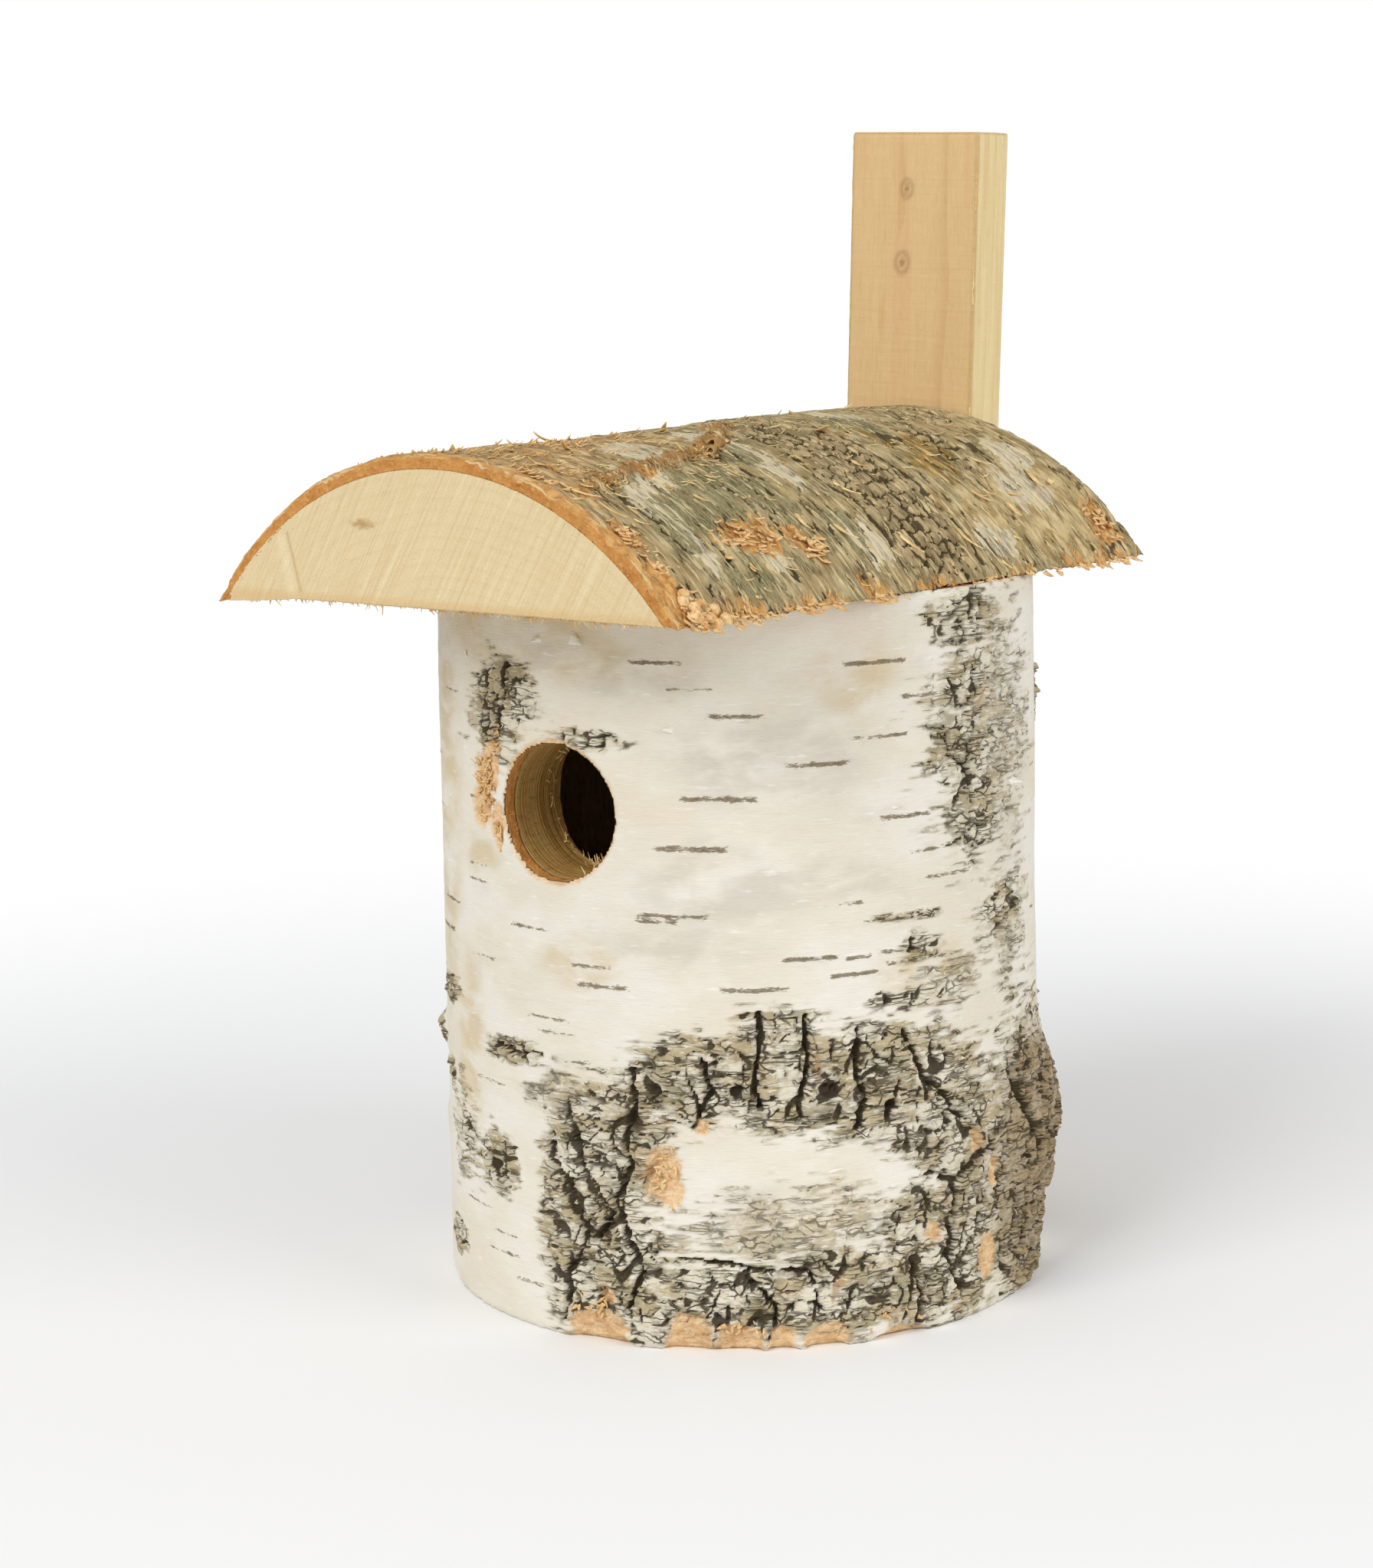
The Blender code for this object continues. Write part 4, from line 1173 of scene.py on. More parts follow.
@once
def log_wood_material():
    """Bored birch: greyish beige, torn fibres, rings on its sawn ends."""
    g, _, color, fibres = wood_graph("log_wood", (206, 178, 132), (170, 138, 92), 0.0036,
                                     0.5, 0.4, 0.9)
    place = g.coords("object")
    torn = g.noise(place, (0.0009, 0.0009, 0.0045), 4.0, 0.65)
    color = g.tint(color, g.step(torn, 0.48, 0.70), 0.45, srgb(144, 112, 70))
    pale = g.noise(place, (0.002, 0.002, 0.006), 3.0, 0.6)
    color = g.tint(color, g.step(pale, 0.56, 0.74), 0.5, srgb(226, 204, 160))
    return g.finish(color, None, g.math('ADD', torn, fibres), 0.0006)


@once
def bore_material():
    """The side of the entrance: rings of tool marks around it, from outside to nest."""
    g = Graph("bored_wood", 0.85)
    place = g.coords("object")
    grooves = g.noise(place, (0.08, 0.0011, 0.08), 3.0, 0.6)
    fuzz = g.noise(place, (0.0012, 0.0035, 0.0012), 3.0, 0.65)
    color = g.mix(g.step(grooves, 0.35, 0.65), srgb(204, 170, 104), srgb(168, 130, 66))
    color = g.tint(color, g.step(fuzz, 0.50, 0.70), 0.4, srgb(136, 96, 40))
    broad = g.noise(place, (0.008, 0.008, 0.008), 3.0)
    color = g.tint(color, g.step(broad, 0.45, 0.70), 0.4, srgb(178, 138, 82))
    return g.finish(color, None, g.math('ADD', grooves, g.math('MULTIPLY', fuzz, 0.5)), 0.0007)


@once
def floor_board_material():
    """A sawn softwood board: wavy rings cut along, with circular saw marks."""
    g, _, color, fibres = wood_graph("floor_wood", (232, 206, 158), (200, 158, 100), 0.0050,
                                     0.6, 0.35, 0.8)
    place = g.coords("object")
    saw = g.noise(place, (0.0016, 0.06, 0.06), 3.0, 0.6)
    color = g.tint(color, g.step(saw, 0.52, 0.74), 0.2, srgb(190, 152, 100))
    return g.finish(color, None, g.math('ADD', fibres, g.math('MULTIPLY', saw, 0.7)), 0.0003)


@once
def splinter_material():
    """Pale torn fibres, thin enough to be nearly one colour."""
    g = Graph("splinters", 0.8)
    place = g.coords("object")
    patches = g.noise(place, (0.004, 0.004, 0.004), 2.0)
    color = g.mix(g.step(patches, 0.40, 0.62), srgb(244, 222, 164), srgb(226, 186, 122))
    return g.finish(color, None, g.noise(place, (0.0005, 0.002, 0.0005), 2.0), 0.0002)


@once
def steel_material():
    """Zinc-plated steel, lightly worn."""
    g = Graph("screw_steel", 0.36)
    g.shader.inputs["Metallic"].default_value = 1.0
    place = g.coords("object")
    worn = g.noise(place, (0.002, 0.002, 0.002), 3.0)
    color = g.mix(g.step(worn, 0.35, 0.65), srgb(206, 206, 202), srgb(172, 170, 164))
    fine = g.noise(place, (0.0003, 0.0003, 0.0003), 2.0)
    rough = g.math('ADD', 0.28, g.math('MULTIPLY', worn, 0.25))
    return g.finish(color, rough, fine, 0.00005)


# ---------------------------------------------------------------- turned shapes
def resample(points, step):
    """Points along a polyline, at its corners and at most a step apart between them."""
    places = [points[0]]
    for (r1, z1), (r2, z2) in zip(points, points[1:]):
        count = max(int(math.ceil(math.hypot(r2 - r1, z2 - z1) / step)), 1)
        for i in range(1, count + 1):
            places.append((r1 + (r2 - r1) * i / count, z1 + (z2 - z1) * i / count))
    return np.array(places)


def loop_normals(profile, closed):
    """Directions square to a profile at each of its points."""
    if closed:
        along = np.roll(profile, -1, 0) - np.roll(profile, 1, 0)
    else:
        along = np.gradient(profile, axis=0)
    along /= np.maximum(np.linalg.norm(along, axis=1, keepdims=True), 1e-9)
    return np.stack([along[:, 1], -along[:, 0]], -1)


def wall_relief(patch):
    """Torn fibres and tool marks in the bored log."""
    height = 0.22 * MM * patch.noise(5 * MM, 1.6 * MM, 51, 3)
    height += 0.30 * MM * patch.noise(30 * MM, 3.0 * MM, 52, 2)
    return height


def add_log_wall():
    """The bored wood of the log, with its ledge, screw holes and the entrance."""
    edge = 0.4 * MM
    top_r = WOOD_RADIUS - LOG_TAPER
    corners = [(top_r - edge, LOG_HEIGHT), (top_r, LOG_HEIGHT - edge), (WOOD_RADIUS, edge),
               (WOOD_RADIUS - edge, 0), (REBATE_RADIUS + edge, 0), (REBATE_RADIUS, edge),
               (REBATE_RADIUS, REBATE_DEPTH), (NEST_RADIUS + edge, REBATE_DEPTH),
               (NEST_RADIUS, REBATE_DEPTH + edge), (NEST_RADIUS, LOG_HEIGHT - edge),
               (NEST_RADIUS + edge, LOG_HEIGHT), (top_r - edge, LOG_HEIGHT)]
    profile = resample(corners, 1.3 * MM / DETAIL)[:-1]
    normal = loop_normals(profile, closed=True)
    columns = int(260 * DETAIL)
    rows = len(profile)
    angle = (np.arange(columns) / columns - 0.5) * math.tau
    along = np.concatenate([[0], np.cumsum(np.hypot(*np.diff(profile, axis=0).T))])
    theta, s = np.meshgrid(angle, along)
    patch = Patch(theta * NEST_RADIUS, s, math.tau * NEST_RADIUS)
    inside = (profile[:, 0] < NEST_RADIUS + 1 * MM) & (profile[:, 1] > REBATE_DEPTH + 1 * MM)
    lift = wall_relief(patch) * np.where(inside, 1.0, 0.25)[:, None]
    lift = -np.abs(lift)
    outward = -normal if normal[2, 0] < 0 else normal
    r = profile[:, :1] + outward[:, :1] * lift
    z = profile[:, 1:] + outward[:, 1:] * lift
    points = np.stack([r * np.sin(theta), AXIS_Y - r * np.cos(theta), z], -1).reshape(-1, 3)
    mesh = build_mesh("bored_log", points, ring_faces(rows, columns))
    grain = points - np.array([4 * MM, AXIS_Y + 3 * MM, 0.0])
    set_coords(mesh, "grain", grain)
    face_outwards(mesh)
    mesh.materials.append(log_wood_material())
    mesh.materials.append(bore_material())
    wall = show("bored_log", mesh, replaces=["log_wall"])
    cutters = [entrance_cutter("wood_bore", 0.16 * MM, 0.06 * MM, 43, bore_material())]
    cutters += [screw_cutter(node) for node in BATTEN_SCREWS + FLOOR_SCREWS]
    cut_shapes(wall, cutters)


# ---------------------------------------------------------------- screws
BATTEN_SCREWS = ["batten_screw_1", "batten_screw_2", "batten_screw_3"]
ROOF_SCREWS = ["roof_screw_1", "roof_screw_2"]
FLOOR_SCREWS = ["floor_screw_1", "floor_screw_2", "floor_screw_3"]
SCREW_SIZES = {"batten": (4.0 * MM, 8.0 * MM), "roof": (4.0 * MM, 8.0 * MM),
               "floor": (3.5 * MM, 7.0 * MM)}       # shank and head
HEAD_RIM = 0.5 * MM
SCREW_GAP = 0.3 * MM
SCREW_COLUMNS = 48
FACE_RINGS = 22                # on the head's face, close enough to show the recess


def screw_place(node):
    """Where a screw's head face is, its turn from head-up, and its length."""
    low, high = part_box(node)
    middle = (low + high) / 2
    if node.startswith("floor"):
        turn = Matrix.Rotation(math.radians(180), 4, 'X')
        return Matrix.Translation((middle.x, middle.y, low.z)) @ turn, high.z - low.z
    turn = Matrix.Rotation(math.radians(-90), 4, 'X')
    return Matrix.Translation((middle.x, high.y, middle.z)) @ turn, high.y - low.y


def recess_depth(x, y, head):
    """Depth of the cross recess at places on a screw's head."""
    arm = head * 0.30
    half = head * 0.055
    across = np.minimum(np.abs(x), np.abs(y))
    along = np.maximum(np.abs(x), np.abs(y))
    inside = (1 - smooth(half * 0.8, half * 1.2, across)) * (1 - smooth(arm * 0.9, arm, along))
    middle = 1 - smooth(half * 1.6, half * 2.4, np.hypot(x, y))
    return np.maximum(inside, middle) * head * 0.20


def screw_mesh(kind, length):
    """A countersunk wood screw, head up at z = 0, with a cross recess and a thread."""
    shank, head = SCREW_SIZES[kind]
    angle = full_turn(SCREW_COLUMNS)
    pitch = shank * 0.45
    core = shank * 0.35
    rings = [(r, 0.0) for r in np.linspace(0.04 * head, 0.47 * head, FACE_RINGS)]
    rings += [(0.5 * head, -0.15 * MM), (0.5 * head, -HEAD_RIM)]
    neck = -HEAD_RIM - (head - shank * 0.7) / 2
    rings.append((core, neck))
    threads = np.arange(neck - 1.0 * MM, -length + shank * 0.9, -pitch / 6)
    rings += [(core, z) for z in threads]
    tip = np.linspace(-length + shank * 0.85, -length, 6)
    rings += [(max(core * (z + length) / (shank * 0.85), 0.05 * MM), z) for z in tip]
    rings = np.array(rings)
    r = np.tile(rings[:, :1], (1, SCREW_COLUMNS))
    z = np.tile(rings[:, 1:], (1, SCREW_COLUMNS))
    on_face = np.arange(len(rings)) < FACE_RINGS
    x0 = r * np.cos(angle)
    y0 = r * np.sin(angle)
    z = z - np.where(on_face[:, None], recess_depth(x0, y0, head), 0.0)
    threaded = (rings[:, 1] < neck - 0.9 * MM) & (rings[:, 1] > -length + shank * 0.3)
    phase = np.mod(rings[:, 1:] / pitch + angle[None, :] / math.tau, 1.0)
    crest = np.clip(1 - np.abs(phase - 0.5) / 0.28, 0, 1)
    r = r + np.where(threaded[:, None], crest * shank * 0.13, 0.0)
    points = np.stack([r * np.cos(angle), r * np.sin(angle), z], -1).reshape(-1, 3)
    mesh = tube_mesh("screw_" + kind, points, len(rings), SCREW_COLUMNS)
    mesh.set_sharp_from_angle(angle=math.radians(35))
    mesh.materials.append(steel_material())
    return mesh


def add_screws():
    """Every screw, on the body that it moves with."""
    for nodes, body in ((BATTEN_SCREWS + ROOF_SCREWS, BODY), (FLOOR_SCREWS, FLOOR_BODY)):
        for node in nodes:
            place, length = screw_place(node)
            mesh = screw_mesh(node.split("_")[0], length)
            mesh.transform(place)
            show("steel_" + node, mesh, body, replaces=[node])


def screw_cutter(node):
    """The hole for a screw, a little wider than it and open above its head."""
    shank, head = SCREW_SIZES[node.split("_")[0]]
    place, length = screw_place(node)
    columns = 40
    angle = full_turn(columns)
    shank_r = shank / 2 + SCREW_GAP
    head_r = head / 2 + SCREW_GAP
    seat = -HEAD_RIM - SCREW_GAP
    rings = [(head_r, 6 * MM), (head_r, seat), (shank_r, seat - (head_r - shank_r)),
             (shank_r, -length + shank - SCREW_GAP), (0.2 * MM, -length - 2 * SCREW_GAP)]
    r = np.array([p[0] for p in rings])[:, None]
    z = np.array([p[1] for p in rings])[:, None] + 0 * angle
    points = np.stack([r * np.cos(angle), r * np.sin(angle), z], -1).reshape(-1, 3)
    cutter = closed_cutter(node + "_hole", points, len(rings), columns)
    cutter.data.transform(place)
    return cutter


# ---------------------------------------------------------------- floor board
DRAIN_RADIUS = 3.0 * MM
DRAIN_CIRCLE = FLOOR_HIGH[0] - 38 * MM


def drain_cutter(number):
    """One of the four drain holes in the floor."""
    turn = math.tau * (number + 0.5) / 4
    columns = 36
    angle = full_turn(columns)
    x = DRAIN_CIRCLE * math.cos(turn) + DRAIN_RADIUS * np.cos(angle)
    y = AXIS_Y + DRAIN_CIRCLE * math.sin(turn) + DRAIN_RADIUS * np.sin(angle)
    heights = np.array([FLOOR_LOW[2] - 5 * MM, FLOOR_HIGH[2] + 5 * MM])
    points = np.stack([np.tile(x, (2, 1)), np.tile(y, (2, 1)),
                       np.tile(heights[:, None], (1, columns))], -1).reshape(-1, 3)
    return closed_cutter(f"drain_{number}", points, 2, columns)


def add_floor_board():
    """The round floor with its screw holes and drain holes."""
    edge = 0.5 * MM
    low = FLOOR_LOW[2]
    high = FLOOR_HIGH[2]
    radius = FLOOR_HIGH[0]
    corners = [(0.5 * MM, low), (radius - edge, low), (radius, low + edge), (radius, high - edge),
               (radius - edge, high), (0.5 * MM, high)]
    profile = resample(corners, 1.6 * MM / DETAIL)
    columns = int(240 * DETAIL)
    angle = full_turn(columns)
    r = np.tile(profile[:, :1], (1, columns))
    z = np.tile(profile[:, 1:], (1, columns))
    x = r * np.cos(angle)
    y = AXIS_Y + r * np.sin(angle)
    patch = Patch(x, y)
    saw = 0.10 * MM * np.abs(patch.noise(1.8 * MM, 60 * MM, 61, 2))
    z = z + np.where(z > (low + high) / 2, -saw, saw)
    points = np.stack([x, y, z], -1).reshape(-1, 3)
    mesh = tube_mesh("floor_board", points, len(profile), columns)
    grain = np.stack([y.ravel() - 12 * MM, z.ravel() + 38 * MM, x.ravel()], -1)
    set_coords(mesh, "grain", grain)
    mesh.materials.append(floor_board_material())
    board = show("floor_board", mesh, FLOOR_BODY, replaces=["floor_disc"])
    cut_shapes(board, [screw_cutter(node) for node in FLOOR_SCREWS]
               + [drain_cutter(number) for number in range(4)])


# ---------------------------------------------------------------- batten
BATTEN_WIDTH = 42 * MM
BATTEN_KNOTS = [(-2, 283, 1.9), (-3, 263, 2.2), (9, 120, 3.0), (-8, 60, 2.4)]


def batten_matrix():
    """The batten's own frame: its middle, with z along it."""
    middle = (BATTEN_LOW + BATTEN_HIGH) / 2
    return Matrix.Translation(middle) @ Matrix.Rotation(BATTEN_LEAN, 4, 'Y')


def add_batten():
    """Rough sawn batten with worn arrises."""
    depth = BATTEN_HIGH[1] - BATTEN_LOW[1]
    tall = BATTEN_HIGH[2] - BATTEN_LOW[2] - BATTEN_WIDTH * math.sin(BATTEN_LEAN)
    length = tall / math.cos(BATTEN_LEAN)
    block = Block(int(64 * DETAIL), int(330 * DETAIL), int(26 * DETAIL))
    x = (block.a - 0.5) * BATTEN_WIDTH
    z = (block.b - 0.5) * length
    y = (0.5 - block.c) * depth
    side = (block.a == 0).astype(float) + (block.a == 1)
    face = (block.c == 0).astype(float) + (block.c == 1)
    end = (block.b == 0).astype(float) + (block.b == 1)
    corner = smooth(1.5, 2.0, side + face + end)
    patch = Patch(x + 3 * y, z)
    saw = 0.10 * MM * np.abs(patch.noise(30 * MM, 1.3 * MM, 71, 2))
    saw += 0.09 * MM * np.abs(patch.noise(0.9 * MM, 14 * MM, 72, 2))
    wear = corner * (0.30 * MM + 0.40 * MM * np.abs(patch.noise(2 * MM, 4 * MM, 73, 3)))
    x = x - np.sign(x) * np.where(side > 0, saw + wear, wear * 0.8)
    y = y - np.sign(y) * np.where(face > 0, saw + wear, wear * 0.8)
    z = z - np.sign(z) * np.where(end > 0, saw + wear, 0)
    points = np.stack([x, y, z], -1)
    mesh = build_mesh("sawn_batten", points, block.quads, block.strips)
    mesh.transform(batten_matrix())
    face_outwards(mesh)
    mesh.materials.append(batten_material())
    batten = show("sawn_batten", mesh, replaces=["batten"])
    cut_shapes(batten, [screw_cutter(node) for node in BATTEN_SCREWS + ROOF_SCREWS])
    mark_batten(batten.data, depth, length)


def mark_batten(mesh, depth, length):
    """Writes knots, the painted highlight on the narrow sides and bruised arrises on the cut
    batten, in its own frame.
    """
    points = np.empty(len(mesh.vertices) * 3, np.float32)
    mesh.vertices.foreach_get("co", points)
    into = np.array(batten_matrix().inverted())
    x, y, z = (points.reshape(-1, 3) @ into[:3, :3].T + into[:3, 3]).T
    near_side = smooth(1.0 * MM, 0.8 * MM, BATTEN_WIDTH / 2 - np.abs(x))
    near_face = smooth(1.0 * MM, 0.8 * MM, depth / 2 - np.abs(y))
    near_end = smooth(1.0 * MM, 0.8 * MM, length / 2 - np.abs(z))
    behind = y > depth / 2 - 1.2 * MM
    arris = smooth(1.5, 2.0, near_side + near_face + near_end) * ~behind
    knot = np.zeros_like(x)
    middle_z = (BATTEN_LOW[2] + BATTEN_HIGH[2]) / 2
    for across, height, radius in BATTEN_KNOTS:
        dv = z + middle_z - height * MM
        distance = np.hypot(x - across * MM, dv * 0.8) / (radius * MM)
        knot = np.maximum(knot, np.maximum(1 - smooth(0.2, 0.6, distance),
                                           0.6 * np.exp(-((distance - 1) / 0.3) ** 2)))
    # The second channel carries the painted highlight on the narrow sides.
    set_colors(mesh, "marks", knot * near_face, near_side, arris)
    set_coords(mesh, "grain", np.stack([x + 6 * MM, y - 40 * MM, z], -1))


# ---------------------------------------------------------------- roof slab
SAG = 1.6 * MM                 # how far the slab's left tip droops at the front
SAW_SLANT = math.radians(58)


def roof_back(x):
    """Where the roof's askew back end is, at a distance from the middle."""
    return ROOF_BACK_Y + x * ROOF_SKEW


def droop(x, y):
    """The left tip of the overhang hangs a little lower than the rest."""
    left = smooth(40 * MM, 72 * MM, -x)
    front = smooth(ROOF_LOW[1] + 45 * MM, ROOF_LOW[1] + 5 * MM, y)
    return -SAG * left * front


def roof_growth(x, y):
    """How far old bark and wood rise over the CAD's even curve, towards the back."""
    length = smooth(ROOF_LOW[1], SLAB_HIGH[1], y)
    return ROOF_GROWTH * length * np.clip(1 - (x / ROOF_HALF_WIDTH) ** 2, 0, 1)


def slab_marks(x, z, front):
    """Stain, pale streak and bruised rim on the front end."""
    patch = Patch(x, z)
    stain = smooth(0.0, 0.8, patch.blob(-22 * MM, EAVES_Z + 19 * MM, 5 * MM, 1.6 * MM)
                   + 0.5 * patch.noise(2 * MM, 1 * MM, 84, 2)) * front
    streak = patch.stroke([(-47 * MM, EAVES_Z + 1 * MM), (-50 * MM, EAVES_Z + 14 * MM)])
    pale = (1 - smooth(0.2 * MM, 2.6 * MM, streak)) * front
    crack = patch.stroke([(-44 * MM, EAVES_Z + 2 * MM), (-48 * MM, EAVES_Z + 16 * MM)])
    stain = np.maximum(stain, (1 - smooth(0.1 * MM, 0.6 * MM, crack)) * 0.6 * front)
    rim = smooth(3.0 * MM, 0.5 * MM, z - EAVES_Z) * front
    return stain, pale, rim


def add_roof_slab():
    """The slab: its round back lies under the bark, its flat face is its underside."""
    inner = ROOF_RADIUS - ROOF_BARK + BARK_GAP
    block = Block(int(250 * DETAIL), int(150 * DETAIL), int(60 * DETAIL))
    half = SLAB_HIGH[0] + 0.4 * MM
    x = (block.a * 2 - 1) * half
    top = np.sqrt(np.maximum(inner ** 2 - x ** 2, 0.0)) + ROOF_AXIS_Z
    top = np.maximum(top, EAVES_Z + 0.25 * MM)
    y = ROOF_LOW[1] + (roof_back(x) - ROOF_LOW[1]) * block.b
    top = top + roof_growth(x, y)
    z = top + (EAVES_Z - top) * block.c
    front = (block.b == 0).astype(float)
    under = (block.c == 1).astype(float)
    across = x * math.cos(SAW_SLANT) + z * math.sin(SAW_SLANT)
    along = z * math.cos(SAW_SLANT) - x * math.sin(SAW_SLANT)
    saw = Patch(across, along)
    fuzz = Patch(x, z)
    marks = 0.22 * MM * np.abs(saw.noise(60 * MM, 2.2 * MM, 81, 2))
    marks += 0.12 * MM * np.abs(fuzz.noise(0.9 * MM, 0.9 * MM, 82, 2))
    y = y + front * marks
    below = Patch(x, y)
    hollow = 0.35 * MM * np.abs(below.noise(5 * MM, 40 * MM, 83, 3))
    z = z + under * hollow + droop(x, y) * block.c
    points = np.stack([x, y, z], -1)
    mesh = build_mesh("split_slab", points, block.quads, block.strips)
    set_colors(mesh, "marks", *slab_marks(x, z, front))
    set_coords(mesh, "saw", np.stack([across, along, y], -1))
    set_coords(mesh, "grain", np.stack([x - 6 * MM, z - ROOF_AXIS_Z + 4 * MM, y], -1))
    face_outwards(mesh)
    mesh.materials.append(end_grain_material())
    slab = show("split_slab", mesh, replaces=["roof_slab"])
    cut_shapes(slab, [screw_cutter(node) for node in ROOF_SCREWS])


# ---------------------------------------------------------------- bark of the roof
# Patches on the roof: mm down from the ridge towards +X, mm from the log's axis along Y,
# and two half sizes. The side that faces away is made up in the same manner.
TANNED = [(-4, -86, 30, 32), (2, -52, 18, 14), (-50, -80, 22, 30), (-30, -30, 16, 12),
          (20, -100, 24, 12)]
LICHEN = [(53, -76, 9, 18), (50, -46, 11, 6), (75, -79, 6, 9), (42, -50, 9, 6), (60, -92, 7, 5),
          (44, -64, 8, 8), (30, -36, 8, 6), (66, -34, 7, 6), (22, 24, 9, 9), (36, -88, 5, 5),
          (-45, -52, 12, 12), (-66, -10, 10, 14), (-58, 40, 12, 14), (-28, 22, 9, 9),
          (-74, -60, 6, 16)]
WHITISH = [(50, -88, 11, 5), (68, -66, 9, 4), (66, -88, 8, 4), (34, -32, 14, 5), (70, -28, 9, 6),
           (22, -64, 9, 8), (60, 52, 9, 10), (45, 62, 8, 7), (75, 22, 6, 8), (36, -78, 6, 9),
           (18, -34, 10, 6), (12, 30, 10, 6), (-40, -20, 14, 6), (-62, -44, 10, 6),
           (-52, 64, 12, 8), (-30, 60, 9, 9)]
SCALY = [(20, -4, 22, 14), (47, -5, 24, 15), (72, -6, 17, 14), (0, 0, 16, 12),
         (36, 40, 16, 7), (14, 62, 14, 10), (-26, 4, 20, 12), (-60, 10, 18, 12)]
TORN = [(64, -68, 6, 12), (67, -50, 5, 5), (58, -107, 7, 4), (85, -92, 4, 14), (86, -60, 3, 12),
        (84, -38, 3, 5), (86, -15, 2, 12), (86, 20, 2, 12), (86, 62, 2.5, 20), (74, 72, 7, 6),
        (34, -76, 5, 4), (76, -108, 10, 4), (-84, -60, 4, 26), (-86, 10, 2.5, 26),
        (-60, -72, 7, 7), (40, -102, 4, 3), (10, -88, 5, 3), (-6, -70, 6, 3), (26, -96, 4, 3)]
MUSTARD = [(46, 27, 8, 9), (38, 34, 6, 6), (30, 22, 5, 5), (-48, 26, 7, 8)]
PEELED = [(66, 55, 18, 24), (70, 25, 13, 7), (20, 66, 13, 12), (60, 14, 6, 4), (-66, 66, 14, 16)]
SCAR = [(8, -16), (18, -30), (26, -44), (30, -60), (33, -75), (37, -96)]
ROOF_FISSURES = [
    (0.9, [(8, 10), (24, 12), (40, 10), (56, 12), (80, 10)]),
    (0.8, [(12, -20), (30, -18), (46, -22), (60, -19), (78, -22)]),
    (0.6, [(28, -44), (38, -42), (50, -44)]), (0.5, [(35, -92), (46, -94), (60, -93)]),
    (0.5, [(40, -58), (52, -56), (58, -57)]), (0.6, [(10, 40), (26, 42), (38, 40)]),
    (0.6, [(30, 52), (48, 50), (66, 53)]), (0.8, [(-12, 12), (-34, 10), (-60, 12), (-80, 9)]),
    (0.6, [(-20, -40), (-44, -42), (-70, -38)]),
]


def roof_patches(places, patch):
    """The highest of several blobs on the roof, whose places are in mm."""
    return patch.blobs([tuple(value * MM for value in place) for place in places])


def streaked(patch):
    """Places shifted along the bark's grain, so that patches on it end in long points."""
    pull = 7.5 * MM * patch.noise(18 * MM, 1.8 * MM, 103, 3)
    pull += 2.5 * MM * patch.noise(9 * MM, 9 * MM, 104, 2)
    return Patch(patch.u + pull, patch.v + 1.3 * MM * patch.noise(13 * MM, 5 * MM, 105, 3))


def roof_cracks(patch, bent, wavy):
    """Scaly plates, dashes along the grain, and the long fissures."""
    plates, number = wavy.cells(4.6 * MM, 3.6 * MM, 110)
    crack = 1 - smooth(0.03, 0.20, plates + 0.10 * patch.noise(1.1 * MM, 1.0 * MM, 111))
    dash = smooth(0.55, 0.88, wavy.ridges(19 * MM, 2.8 * MM, 112))
    dash *= smooth(-0.05, 0.22, patch.noise(12 * MM, 5 * MM, 113, 2))
    wide = smooth(0.70, 0.94, bent.ridges(30 * MM, 6 * MM, 114))
    wide *= smooth(0.0, 0.3, patch.noise(14 * MM, 8 * MM, 115, 2))
    fissure = np.zeros_like(patch.u)
    for half_width, points in ROOF_FISSURES:
        distance = wavy.stroke([(u * MM, v * MM) for u, v in points])
        width = half_width * MM * (1.0 + 0.8 * patch.noise(6 * MM, 3 * MM, 119, 2))
        fissure = np.maximum(fissure, 1 - smooth(0.5, 1.3, distance / np.maximum(width, 0.1 * MM)))
    return crack, number, dash, wide, fissure


